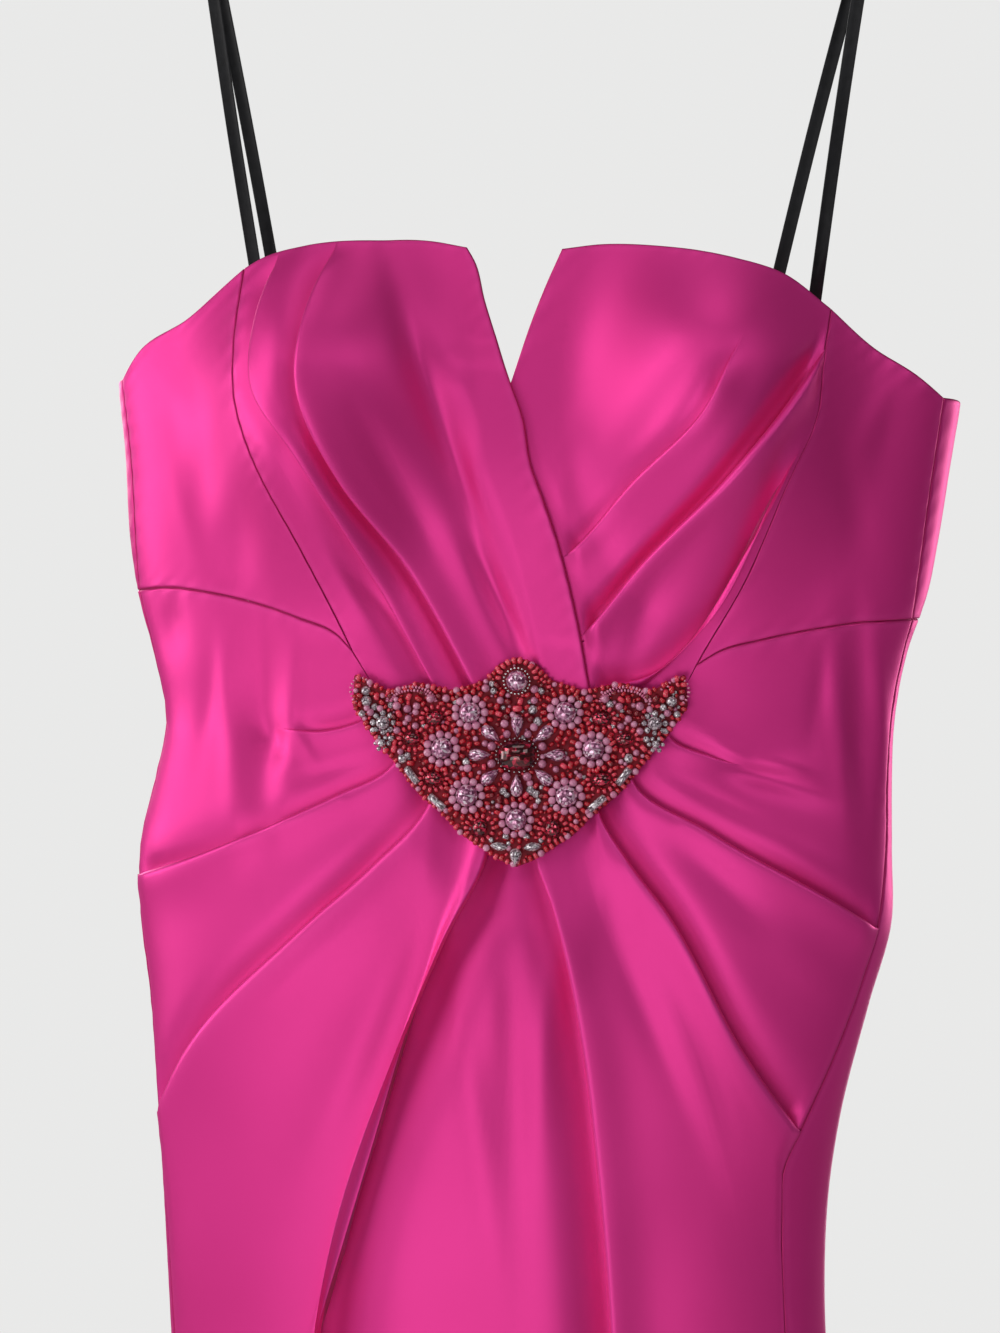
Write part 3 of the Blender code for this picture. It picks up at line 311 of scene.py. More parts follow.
def shell_faces(rows, columns):
    """Faces of two grids of points: the outer side, the rim round all four edges and the inner side."""
    count = rows * columns
    number = np.arange(count).reshape(rows, columns)
    border = np.concatenate([number[0, :-1], number[:-1, -1], number[-1, :0:-1], number[:0:-1, 0]])
    after = np.roll(border, -1)
    front = grid_faces(rows, columns)
    return front, np.stack([after, border, border + count, after + count], -1), front[:, ::-1] + count


def tube_faces(stations, around):
    """Faces of a section carried along a line, with one flat face at each end."""
    first = np.arange(around)[None]
    last = first + (stations - 1) * around
    return [grid_faces(stations, around, closed=True)[:, ::-1], first, last[:, ::-1]]


def unit(ways):
    """Directions brought to length one."""
    return ways / np.linalg.norm(ways, axis=-1, keepdims=True)


# %% [markdown]
# The floor is plain and pale and lies well below the hem. It isn't part of the object.

# %% Floor
FLOOR = -1.62
FLOOR_HALF = 2.1
FLOOR_FINISH, floor_tree, floor_shader = new_finish("pale_floor", (0.80, 0.80, 0.79), 0.8)
mottle(floor_tree, floor_shader, (0.80, 0.80, 0.79), (0.77, 0.77, 0.76), 3.0)
floor_mesh = bpy.data.meshes.new("floor")
floor_corners = [(x * FLOOR_HALF, y * FLOOR_HALF, FLOOR) for x, y in ((-1, -1), (1, -1), (1, 1), (-1, 1))]
floor_mesh.from_pydata(floor_corners, [], [(0, 1, 2, 3)])
floor_mesh.materials.append(FLOOR_FINISH)
floor = bpy.data.objects.new("floor", floor_mesh)
bpy.context.collection.objects.link(floor)

# %% [markdown]
# The dress is a rounded tube: a section that is flat in front and turned in at the sides, as wide and as
# deep as the table says at each height, with two round cups on it. Seams and edges are smooth lines through
# a few points.

# %% Form of the dress
ROUNDNESS = 2.6
SEAM = 0.36
SEAM_SHOWN = 0.14
HEM = 850.0
FORM = np.array([
    # below, left, right, front, back
    (0, 212, 212, 50, 12), (70, 212, 212, 54, 14), (100, 209, 207, 54, 16), (150, 206, 199, 50, 18),
    (175, 202, 194, 47, 20), (205, 194, 184, 44, 21), (240, 188, 178, 42, 21), (265, 193, 177, 44, 22),
    (300, 201, 177, 48, 24), (335, 201, 177, 50, 24), (375, 196, 166, 50, 26), (430, 192, 152, 48, 27),
    (460, 190, 147, 47, 27), (600, 183, 148, 46, 27), (850, 178, 158, 44, 27),
], float)
CUPS = ((-98, 72, 80, 98, 128, 36), (98, 74, 80, 98, 128, 36))


def hermite(at, knots, values):
    """Smooth curve through the values at the knots; each knot's slope is taken from its neighbours."""
    at, knots, values = (np.asarray(v, float) for v in (at, knots, values))
    slope = np.gradient(values, knots, axis=0)
    i = np.clip(np.searchsorted(knots, at) - 1, 0, len(knots) - 2)
    step = knots[i + 1] - knots[i]
    t = np.clip((at - knots[i]) / step, 0, 1)
    if values.ndim > 1:
        step, t = step[..., None], t[..., None]
    start = values[i] * (1 + 2 * t) * (1 - t) ** 2 + slope[i] * step * t * (1 - t) ** 2
    return start + values[i + 1] * t * t * (3 - 2 * t) + slope[i + 1] * step * t * t * (t - 1)


def length_along(points):
    """Distance along a line from its first point to each of its points."""
    return np.concatenate([[0.0], np.cumsum(np.linalg.norm(np.diff(points, axis=0), axis=1))])


def line(points, fractions):
    """Points of a smooth line at the given fractions of its length."""
    points = np.asarray(points, float)
    knots = length_along(points)
    dense = hermite(np.linspace(0, knots[-1], 900), knots, points)
    run = length_along(dense)
    at = np.asarray(fractions, float) * run[-1]
    return np.stack([np.interp(at, run, dense[:, k]) for k in range(points.shape[1])], -1)


def smooth(t):
    """Soft step from 0 to 1 while t runs from 0 to 1: 3 t squared minus 2 t cubed."""
    t = np.clip(t, 0, 1)
    return t * t * (3 - 2 * t)


def form(below):
    """Reach to the left and right and depth in front and behind at a height."""
    return [hermite(below, FORM[:, 0], FORM[:, k]) for k in (1, 2, 3, 4)]


def cup_rise(x, below):
    """Each cup is a cosine hill, longer below its middle than above it."""
    total = np.zeros(np.broadcast(x, below).shape)
    for at_x, at_below, half, up, down, rise in CUPS:
        height = np.where(below < at_below, up, down)
        away = np.minimum(np.hypot((x - at_x) / half, (below - at_below) / height), 1)
        total = total + rise * (1 + np.cos(math.pi * away)) / 2
    return total


def skin(x, below, plain=None):
    """Points on the form and their outward directions, in (x, below, depth).

    A section is a superellipse: the powers 2.6 of x over reach and of depth over span add up to one.
    """
    left, right, front, back = form(below)
    step = 0.5
    left_2, right_2, front_2, back_2 = form(below + step)
    reach = np.where(x < 0, left, right)
    reach_turn = (np.where(x < 0, left_2, right_2) - reach) / step
    if plain is None:
        part = np.clip(np.abs(x) / reach, 0, 1)
        plain = front * (1 - part ** ROUNDNESS) ** (1 / ROUNDNESS)
    span = np.where(plain > 0, front, back)
    span_turn = (np.where(plain > 0, front_2, back_2) - span) / step
    wide, deep = np.abs(x) / reach, np.abs(plain) / span
    out_x = np.sign(x) * wide ** (ROUNDNESS - 1) / reach
    out_depth = np.sign(plain) * deep ** (ROUNDNESS - 1) / span
    out_below = -(wide ** ROUNDNESS) * reach_turn / reach - deep ** ROUNDNESS * span_turn / span
    ahead = plain > 0
    rise = np.where(ahead, cup_rise(x, below), 0)
    rise_x = np.where(ahead, cup_rise(x + step, below) - cup_rise(x, below), 0) / step
    rise_below = np.where(ahead, cup_rise(x, below + step) - cup_rise(x, below), 0) / step
    out = unit(np.stack([out_x - out_depth * rise_x, out_below - out_depth * rise_below, out_depth], -1))
    return np.stack([x, below, plain + rise], -1), out


def in_metres(points):
    """From (x, below, depth) in millimetres to the part's frame in metres."""
    x, below, depth = np.moveaxis(np.asarray(points, float), -1, 0)
    return np.stack([x, -depth, -(CUP_TOPS + below)], -1) * MM


print("waist section", [round(float(v), 1) for v in form(240.0)])

# %% [markdown]
# Weave and grain must not be stretched where the cloth turns to the side, so the UV map measures along the
# section: an arc length table of one superellipse, scaled to the reach at each height.

# %% UV map in metres
arc_turns = np.linspace(math.pi / 2, -math.pi / 2, 721)
arc_x = np.abs(np.cos(arc_turns)) ** (2 / ROUNDNESS)
arc_depth = np.sign(arc_turns) * np.abs(np.sin(arc_turns)) ** (2 / ROUNDNESS) * 0.2
arc_run = length_along(np.stack([arc_x, arc_depth], -1))


def cloth_uv(x, below, plain):
    """How far round the section, and how far down, in metres."""
    left, right, front, back = form(below)
    reach = np.where(x < 0, left, right)
    span = np.where(plain > 0, front, back)
    turn = np.arctan2(np.sign(plain) * (np.abs(plain) / span) ** (ROUNDNESS / 2),
                      (np.abs(x) / reach) ** (ROUNDNESS / 2))
    run = np.interp(-turn, -arc_turns, arc_run)
    return np.stack([np.sign(x) * run * reach, -below], -1) * MM


# %% [markdown]
# Hung cloth is never even. Soft hollows and swellings are bell-shaped rises, each at its own place and
# lean; a few long low waves run over all of it, and the cloth puckers a little beside each seam.

# %% Unevenness of the cloth
Bell = namedtuple("Bell", "x below lean half_length half_width rise")
SOFT = [Bell(*row) for row in (
    (-130, 243, 0, 52, 9, -3.0), (-179, 190, 0, 14, 8, -2.0), (-125, 248, 20, 10, 8, -2.5),
    (-141, 150, -8, 34, 12, -2.5), (162, 235, 3, 48, 7, -2.5), (112, 263, 75, 14, 6, -2.5),
    (131, 269, 70, 16, 5, -1.5), (-36, 95, 18, 62, 7, -5.0), (-12, 178, 24, 34, 5, -4.0),
    (-30, 340, 20, 60, 14, 2.0), (30, 330, -18, 50, 12, 2.0),
)]
CREASES = [Bell(*row) for row in (
    # Beside the hips and under the waist seams
    (-148, 238, 4, 40, 6, 1.4), (-115, 232, -6, 34, 6, 1.3), (-160, 228, -10, 26, 5, -0.9),
    (151, 240, 4, 40, 5, 1.1), (142, 225, -8, 26, 5, -0.8), (171, 228, 6, 34, 4, 0.9),
    (98, 250, 62, 12, 3, 0.9), (126, 258, 82, 12, 3, 0.9), (-109, 249, 30, 9, 3.5, 1.0),
    # Side panels
    (-158, 118, -10, 30, 10, -1.1), (-168, 140, 14, 24, 6, 0.7), (158, 128, 12, 34, 8, -1.2),
    (167, 96, -22, 22, 6, 0.8), (-172, 78, 30, 22, 8, 0.8),
    # Cups
    (-60, 118, 26, 40, 6, -1.6), (-78, 172, 36, 24, 5, -1.4), (-20, 128, 18, 40, 5, 1.6),
    (64, 96, -38, 46, 9, -1.2), (84, 150, -42, 30, 6, -1.5), (102, 128, -36, 36, 7, 1.2),
    (58, 190, -20, 20, 5, -1.0), (20, 118, -20, 26, 8, 1.0),
    # Skirt panels between the pleats
    (-92, 330, -42, 40, 8, -1.3), (-120, 372, -38, 40, 10, 1.2), (-58, 372, -20, 60, 9, -1.6),
    (-84, 404, -26, 60, 10, 1.4), (-4, 400, 2, 90, 8, -1.5), (14, 372, -4, 60, 6, 1.2),
    (-24, 420, 8, 80, 7, 1.2), (60, 372, 24, 50, 8, -1.5), (84, 408, 26, 50, 9, 1.4),
    (104, 322, 44, 36, 7, -1.3), (128, 346, 50, 34, 8, 1.1), (-128, 290, -66, 30, 6, 1.2),
    (-96, 262, -74, 26, 4, -1.0), (96, 276, 64, 26, 4, -0.9), (140, 306, 60, 24, 6, 1.0),
)]
BACK_CREASES = [Bell(*row) for row in (
    (-96, 168, 72, 40, 9, -1.6), (-120, 196, 80, 36, 7, 1.2), (88, 172, -74, 38, 9, -1.5),
    (112, 200, -80, 34, 7, 1.1), (-60, 250, 30, 60, 12, 1.4), (54, 262, -26, 60, 12, 1.4),
    (-130, 262, 8, 50, 8, -1.5), (120, 250, -6, 50, 8, -1.4), (-52, 134, 6, 30, 8, -1.1),
    (48, 138, -6, 30, 8, -1.0),
)]
CREASE_RISE, BACK_RISE = 1.1, 2.0
FLUTE_HEIGHT, FLUTES_START, FLUTES_GROW = 1.5, 470, 300
WAVES = (
    # length of the wave across and down in millimetres, where it starts, height
    (118, 240, 0.4, 0.22), (-86, 170, 2.1, 0.17), (64, -210, 4.0, 0.11), (150, 96, 1.2, 0.14),
    (-52, -128, 5.3, 0.06),
)


def bells(x, below, table, rise=1.0):
    """Sum of bell shapes: the rise times e to the minus squares of the ways along and across its lean."""
    total = np.zeros(np.broadcast(x, below).shape)
    for bell in table:
        turn = math.radians(bell.lean)
        along = (below - bell.below) * math.cos(turn) + (x - bell.x) * math.sin(turn)
        across = (x - bell.x) * math.cos(turn) - (below - bell.below) * math.sin(turn)
        fall = -((along / bell.half_length) ** 2) - (across / bell.half_width) ** 2
        total = total + rise * bell.rise * np.exp(fall)
    return total


def drift(x, below):
    """Sum of long sine waves that cross each other."""
    total = np.zeros(np.broadcast(x, below).shape)
    for across, down, start, height in WAVES:
        total = total + height * np.sin(2 * math.pi * (x / across + below / down) + start)
    return total


def front_forms(x, below):
    """Hollows, swellings and creases of the front."""
    return bells(x, below, SOFT) + bells(x, below, CREASES, CREASE_RISE)


def flutes(x, below):
    """Shallow upright waves of the skirt that grow towards the hem."""
    grown = FLUTE_HEIGHT * smooth((below - FLUTES_START) / FLUTES_GROW)
    return grown * np.sin(x / 17 + 0.8 * np.sin(x / 41) + below / 420)


print("soft forms", len(SOFT) + len(CREASES) + len(BACK_CREASES))

# %% [markdown]
# A panel is a thin shell: an outer grid and an inner one, closed round its four edges. Its outer side rolls
# down to the edge, because a seam turns the cloth in, which draws each seam as a fine groove.

# %% A wall of cloth
BODICE_CLOTH = 2.0
SKIRT_CLOTH = 1.2
ROLL = 1.1
PUCKER_RISE, PUCKER_WAVE, PUCKER_REACH = 0.22, 1.9, 5


def edge_distance(points):
    """Distance of each grid point from the nearest of the four edges, along rows and columns."""
    near = np.full(points.shape[:2], 1e9)
    for axis in (0, 1):
        steps = np.linalg.norm(np.diff(points, axis=axis), axis=-1)
        run = np.insert(np.cumsum(steps, axis=axis), 0, 0, axis=axis)
        near = np.minimum(near, np.minimum(run, np.take(run, [-1], axis=axis) - run))
    return near


def draw_in(points, amount):
    """Moves the four edges of a grid inwards over the surface."""
    moved = points.copy()
    for flip in (False, True):
        grid = np.swapaxes(points, 0, 1) if flip else points
        target = np.swapaxes(moved, 0, 1) if flip else moved
        for edge, inside in ((0, 3), (-1, -4)):
            inward = grid[inside] - grid[edge]
            length = np.linalg.norm(inward, axis=-1, keepdims=True)
            target[edge] += np.minimum(amount / np.maximum(length, 1e-6), 0.3) * inward
    return moved


def cloth_wall(name, node, outer_at, inner_at, outer_rise, inner_rise, thick, fold_lip_highlight=None):
    """The shell of one panel, from (points, directions) of both sides and how far folds raise them."""
    outer_base, outer_way = outer_at
    inner_base, inner_way = inner_at
    near = edge_distance(outer_base)
    roll = np.clip(1 - near / ROLL, 0, 1)
    sink = ROLL * (1 - np.sqrt(np.clip(1 - roll ** 2, 0, 1)))
    run = outer_base[..., 0] * 0.9 + outer_base[..., 1]
    pucker = PUCKER_RISE * np.exp(-near / PUCKER_REACH) * np.sin(run / PUCKER_WAVE + 1.8 * np.sin(run / 17))
    pucker = pucker * smooth(near / 1.5)
    outer = draw_in(outer_base, SEAM_SHOWN / 2) + outer_way * (outer_rise - sink + pucker)[..., None]
    inner = draw_in(inner_base, SEAM_SHOWN / 2) + inner_way * (inner_rise - thick + 0.5 * sink)[..., None]
    rows, columns = outer.shape[:2]
    count = rows * columns
    front, rim, behind = shell_faces(rows, columns)
    faces = np.concatenate([front, rim, behind])
    both = np.concatenate([outer.reshape(-1, 3), inner.reshape(-1, 3)])
    uv = [cloth_uv(b[..., 0], b[..., 1], b[..., 2]).reshape(-1, 2) for b in (outer_base, inner_base)]
    inside = np.arange(len(faces)) >= len(front) + len(rim)
    # Outer side: a paler band beside each seam, and painted highlight along fold lips
    lip_highlight_seam_band = np.zeros(2 * count)
    lip_highlight_seam_band[:count] = (0.45 * np.exp(-((near - 2.2) / 1.6) ** 2)).ravel()
    if fold_lip_highlight is not None:
        lip_highlight_seam_band[:count] = np.maximum(lip_highlight_seam_band[:count], fold_lip_highlight.ravel())
    # Outer side: painted shade that darkens each seam's groove
    sunk = np.zeros(2 * count)
    sunk[:count] = np.exp(-(near / 0.9) ** 2).ravel() * 0.8
    piece = make_piece(name, in_metres(both), [faces], (SATIN, LINING), replaces=(node,),
                       uv=np.concatenate(uv), which=inside,
                       marks={"lip_highlight_seam_band": np.clip(lip_highlight_seam_band, 0, 1), "sunk": sunk})


# %% [markdown]
# Pleats spread like a fan, so panels are made from lines that run between guides from one edge to another.
# At a guide with a fold, the cloth on one side rises to a rounded lip, turns back under itself, and the
# other side runs on beneath it: a real overlap that a height map can't have. Its columns close up where the
# fold fades out.

# %% Fans of lines with real folds
Fold = namedtuple("Fold", "lap lift dip lift_width dip_width ends sharp")
Guide = namedtuple("Guide", "start end between fold after")
FLAT = Fold(0, 0, 0, 1, 1, 999, 0)
UNDER = 4.4
LIP_AWAY = np.array([UNDER, 3.0, 1.9, 1.12, 0.31, 0, 0.31, 1.12, 2.2, 3.6, 5.4, 7.6, 10])
LIP_BASE = np.array([0.03, 0.08, 0.14, 0.22, 0.35, 0.55, 0.85, 1.4, 2.2, 3.6, 5.4, 7.6, 10])
LIP_LEVEL = np.array([-1, -1, -1, -0.94, -0.57, 0, 0.57, 0.94, 1, 1, 1, 1, 1])
LOW_AWAY = np.array([-UNDER, -3.0, -1.6, -0.4, 0.8, 2.2, 4.0, 6.4, 9.4])
LOW_BASE = np.array([0.03, 0.12, 0.28, 0.55, 1.0, 2.2, 4.0, 6.4, 9.4])
HEM_AWAY = np.array([0, 0.35, 0.8, 1.4, 2.4, 4.0])
LIP_SHARE = 0.72
FADE_IN, FADE_OUT = 22.0, 30.0
OPEN_END, CLOSE_RUN, LIP_LEFT = 5000, 9.0, 0.35
EDGE_PARTS = 300


class Edge:
    """Smooth stretches that meet in corners; place 1.25 lies a quarter of the way along stretch 1."""

    def __init__(self, *stretches):
        self.places = np.linspace(0, 1, EDGE_PARTS + 1)
        self.stretches = [line(s, self.places) for s in stretches]

    def at(self, place):
        """Points at the places."""
        place = np.asarray(place, float)
        which = np.clip(np.floor(place).astype(int), 0, len(self.stretches) - 1)
        table = np.stack(self.stretches)
        inside = np.clip(place - which, 0, 1) * EDGE_PARTS
        low = np.minimum(inside.astype(int), EDGE_PARTS - 1)
        share = (inside - low)[..., None]
        return table[which, low] * (1 - share) + table[which, low + 1] * share

    def find(self, stretch, axis, value):
        """The place on a stretch where x (axis 0) or below (axis 1) has the value."""
        along = self.stretches[stretch][:, axis]
        order = np.argsort(along)
        return stretch + float(np.interp(value, along[order], self.places[order]))


def fold_fade(fold, track):
    """How much of a fold there is along its track: it fades in from its start and out before its end."""
    run = length_along(track)
    return smooth(run / FADE_IN) * smooth((fold.ends - run) / FADE_OUT)


def fold_close(fold, track):
    """A fold that runs out at a seam closes in its last few millimetres: the seam sews it flat."""
    left_over = length_along(track)[-1] - length_along(track)
    return np.ones(len(track)) if fold.ends > OPEN_END else smooth(left_over / CLOSE_RUN)


def side_rise(fold, side, away, level, fade, close, width):
    """Rise beside a fold: a lip that drops by the roll's height below level 1, or a hollow past it."""
    if not fold.lap:
        return np.zeros(away.shape)
    if side == fold.lap:
        roll = LIP_SHARE * (fold.lift + fold.dip * close) / 2 * fold.sharp * close
        top = fold.lift * np.exp(-(away / np.minimum(fold.lift_width, 0.5 * width)) ** 2)
        return fade * (top * (LIP_LEFT + (1 - LIP_LEFT) * close) - roll * (1 - level))
    dip_width = np.minimum(fold.dip_width, 0.5 * width)
    return -fade * close * fold.dip * np.exp(-(np.maximum(away, 0) / dip_width) ** 2)


def side_columns(fold, side, outermost):
    """Ways from the guide, where they close up to, and levels of the columns on one side of a guide."""
    if fold.lap == 0:
        away = HEM_AWAY if outermost else np.zeros(1)
        return away, away, np.ones(len(away))
    if fold.lap == side:
        return LIP_AWAY, LIP_BASE, LIP_LEVEL
    return LOW_AWAY, LOW_BASE, np.ones(len(LOW_AWAY))


def fan(first, last, guides, rows, first_track=None, last_track=None):
    """Lines from the first edge to the last, along guides.

    A guide has its place on each edge, the points between them, its fold, and how many lines come after it.
    Returns the points of the outer and inner grids as (x, below), their rises, and the painted highlight at
    lips.
    """
    guides = [Guide(*g) for g in guides]
    tracks = [line([first.at(g.start), *g.between, last.at(g.end)], rows) for g in guides]
    if first_track is not None:
        tracks[0] = first_track
    if last_track is not None:
        tracks[-1] = last_track
    fades = [fold_fade(g.fold, track) for g, track in zip(guides, tracks)]
    closes = [fold_close(g.fold, track) for g, track in zip(guides, tracks)]
    grids = ([], [])
    rises = ([], [])
    fold_lip_highlight = []
    for k in range(len(guides) - 1):
        here, there = guides[k], guides[k + 1]
        chord = tracks[k + 1] - tracks[k]
        width = np.maximum(np.linalg.norm(chord, axis=1), 0.4)
        way = unit(np.gradient(tracks[k] + tracks[k + 1], axis=0))
        lean = np.clip(np.abs(chord[:, 0] * way[:, 1] - chord[:, 1] * way[:, 0]) / width, 0.45, 1)
        clear = width * lean
        closer = np.minimum(1, 0.46 * clear / LIP_AWAY[-1])
        sets = []
        for m, side, outermost in ((k, 1, k == 0), (k + 1, -1, k == len(guides) - 2)):
            fold = guides[m].fold
            away, base, level = side_columns(fold, side, outermost)
            turned = base + (away - base) * (fades[m] * closes[m] * fold.sharp)[:, None]
            sets.append((turned * closer[:, None], base * closer[:, None], level))
        (head, head_base, head_level), (tail, tail_base, tail_level) = sets
        low, high = head_base[:, -1], clear - tail_base[:, -1]
        steps = np.arange(1, here.after + 1) / (here.after + 1)
        between = low[:, None] + (high - low)[:, None] * steps
        last_column = k == len(guides) - 2 or there.fold.lap
        tail_cut = None if last_column else -1
        tail, tail_base = (clear[:, None] - t[:, ::-1][:, :tail_cut] for t in (tail, tail_base))
        away = np.concatenate([head, between, tail], 1)
        base = np.concatenate([head_base, between, tail_base], 1)
        ones = np.ones(here.after)
        levels_here = np.concatenate([head_level, ones, np.ones(tail.shape[1])])
        levels_there = np.concatenate([np.ones(len(head_level)), ones, tail_level[::-1][:tail_cut]])
        for number, ways in enumerate((away, base)):
            part = ways / clear[:, None]
            points = tracks[k][:, None] + chord[:, None] * part[..., None]
            start = here.start + (there.start - here.start) * part[0]
            end = here.end + (there.end - here.end) * part[-1]
            points = points + ((1 - rows) ** 3)[:, None, None] * (first.at(start) - points[0])
            points = points + (rows ** 3)[:, None, None] * (last.at(end) - points[-1])
            grids[number].append(points)
        wide = clear[:, None]
        (fade, close), (fade_2, close_2) = ((fades[m][:, None], closes[m][:, None]) for m in (k, k + 1))
        rise = side_rise(here.fold, 1, away, levels_here, fade, close, wide)
        rise = rise + side_rise(there.fold, -1, wide - away, levels_there, fade_2, close_2, wide)
        deep = np.minimum(side_rise(here.fold, 1, base, 1, fade, close, wide)
                          + side_rise(there.fold, -1, wide - base, 1, fade_2, close_2, wide), 0)
        for fold, gone, amount in ((here.fold, base, fade * close),
                                   (there.fold, wide - base, fade_2 * close_2)):
            deep = np.minimum(deep, -fold.dip * amount * (1 - smooth((gone - UNDER) / 3)))
        rises[0].append(rise)
        rises[1].append(deep)
        # Painted highlight along the rounded lip of each fold
        lip = np.zeros(away.shape)
        for fold, side, gone, level, amount in ((here.fold, 1, away, levels_here, fade),
                                                (there.fold, -1, wide - away, levels_there, fade_2)):
            if fold.lap == side:
                lip = lip + amount * fold.sharp * (level > 0.3) * np.exp(-((gone - 1.2) / 2.4) ** 2)
        fold_lip_highlight.append(0.6 * lip)
    grids, rises = ([np.concatenate(side, 1) for side in sides] for sides in (grids, rises))
    return grids, rises, np.concatenate(fold_lip_highlight, 1)


MOTIF_AT = (-1.5, 254.0)
MOTIF_REACH = (88, 58)
UNDER_GROUND = 3.3


def under_motif(x, below, rise):
    """Keeps the cloth under the ornament below its ground."""
    away = np.hypot((x - MOTIF_AT[0]) / MOTIF_REACH[0], (below - MOTIF_AT[1] - 2) / MOTIF_REACH[1])
    return np.minimum(rise, UNDER_GROUND + 12 * np.maximum(away - 1.0, 0))


def panel_of_fan(name, node, made, form_at, thick):
    """The cloth wall of a fan.

    form_at gives the rise of the folds and of the soft forms at (x, below). Swellings raise the outer side
    alone, and hollows sink both sides.
    """
    grids, rises, fold_lip_highlight = made
    sides = []
    for number, (at, up) in enumerate(zip(grids, rises)):
        x, below = at[..., 0], at[..., 1]
        folds, soft = form_at(x, below, up)
        raised = folds if number else folds + np.maximum(soft, 0)
        sides.append((skin(x, below), under_motif(x, below, raised) + np.minimum(soft, 0)))
    (outer_at, outer_rise), (inner_at, inner_rise) = sides
    cloth_wall(name, node, outer_at, inner_at, outer_rise, inner_rise, thick, fold_lip_highlight)


def close_to_ends(count, near, power=1.0):
    """Fractions from 0 to 1, evenly spaced but for a few more near both ends."""
    even = np.linspace(0, 1, count) ** power
    few = np.array([0.3, 0.7, 1.3, 2.2]) * near
    return np.unique(np.round(np.concatenate([even, few, 1 - few]), 7))


print("columns at a fold", len(LIP_AWAY) + len(LOW_AWAY))

# %% [markdown]
# The bodice: two cups whose folds run to the waist, the left one lapping over the right, a panel beside
# each, and the back. All seams are lines through the same few points as the CAD solids' seams.

# %% Seams of the bodice
TOP_LEFT = [(-136, 16.5), (-127, 12), (-104, 7), (-75, 5), (-46, 5), (-26, 9)]
TOP_RIGHT = [(20, 11), (41, 9), (77, 12.5), (105, 19.5), (126, 26.5), (148, 42)]
SIDE_TOP_LEFT = [(-206.7, 66), (-194, 52), (-168, 39), (-149, 26), (-136, 16.5)]
SIDE_TOP_RIGHT = [(148, 42), (168, 59.5), (189, 72.5), (201, 82)]
NOTCH_LEFT = [(-26, 9), (-22, 16), (-17, 35), (-11, 54), (-4, 75)]
NOTCH_RIGHT = [(-4, 75), (0, 62), (5, 47), (12, 29), (20, 11)]
PRINCESS_LEFT = [(-136, 16.5), (-138, 58), (-137, 82), (-131, 104), (-107, 154), (-84, 203)]
PRINCESS_RIGHT = [(148, 42), (144, 70), (142, 90), (128, 124), (108, 169), (84, 210)]
SIDE_SEAM_LEFT = [(-206.7, 66), (-201, 117), (-199.4, 172)]
SIDE_SEAM_RIGHT = [(201, 82), (193, 139), (186.4, 188)]
WAIST_LEFT = [(-84, 203), (-91, 195.5), (-111, 187), (-133, 180), (-156, 174.5), (-179, 171.5),
              (-199.4, 172)]
WAIST_RIGHT = [(84, 210), (96, 203), (113, 198.5), (140, 193), (156, 190.5), (186.4, 188)]
CORNER_LEFT = (-73, 221)
CORNER_RIGHT = (78, 222)
WAIST_ARC = [CORNER_LEFT, (-60, 233), (-32, 246), (0, 252), (36, 246), (62, 235), CORNER_RIGHT]
LAP = [(-4, 75), (2, 92), (6, 115), (12, 132), (18, 150), (22, 165), (28, 192), (32, 216), (37, 245.8)]
UNDERLAP = [(-4, 75), (-8, 84), (-8, 100), (-4, 120), (3, 141), (9, 165), (15, 192), (19, 216), (23, 249.3)]
LAP_LIFT = 3.3
BACK_TOP, BACK_WAIST = 88.0, 180.0
lap_line = line(LAP, np.linspace(0, 1, 200))


def cup_left():
    """The left cup: two folds and a soft valley, lifted off the right cup along the lap."""
    top, foot = Edge(TOP_LEFT), Edge(WAIST_ARC)
    rows = close_to_ends(104, 0.0022)
    seam_end = 15 / 17
    seam = line(PRINCESS_LEFT, np.clip(rows / seam_end, 0, 1))
    stub = line([PRINCESS_LEFT[-1], CORNER_LEFT], np.clip((rows - seam_end) / (1 - seam_end), 0, 1))
    track = np.where((rows < seam_end)[:, None], seam, stub)
    guides = (
        (0.0, 0.0, PRINCESS_LEFT[1:], FLAT, 8),
        (top.find(0, 0, -117), foot.find(0, 0, -30), [(-126, 48), (-126, 76), (-106, 108), (-69, 174)],
         Fold(1, 2.0, 3.5, 11, 8, 999, 0.35), 6),
        (top.find(0, 0, -88), foot.find(0, 0, -9), [(-99, 42), (-102, 78), (-84, 124), (-58, 160)],
         Fold(1, 3.0, 5.0, 10, 8, 999, 0.75), 10),
        (top.find(0, 0, -56), foot.find(0, 0, 14), [(-48, 55), (-32, 112), (-12, 177)], FLAT, 22),
        (1.0, foot.find(0, 0, LAP[-1][0]), [*NOTCH_LEFT[1:-1], *LAP[:-1]], FLAT, 0),
    )

    def lifted(x, below, up):
        edge_x = np.interp(below, lap_line[:, 1], lap_line[:, 0])
        lift = LAP_LIFT * smooth((below - 52) / 18) * (1 - smooth(((edge_x - x) * 0.96 - 20) / 14))
        return up + lift, front_forms(x, below) + drift(x, below)

    panel_of_fan("satin_cup_left", "cup_left", fan(top, foot, guides, rows, track), lifted, BODICE_CLOTH)


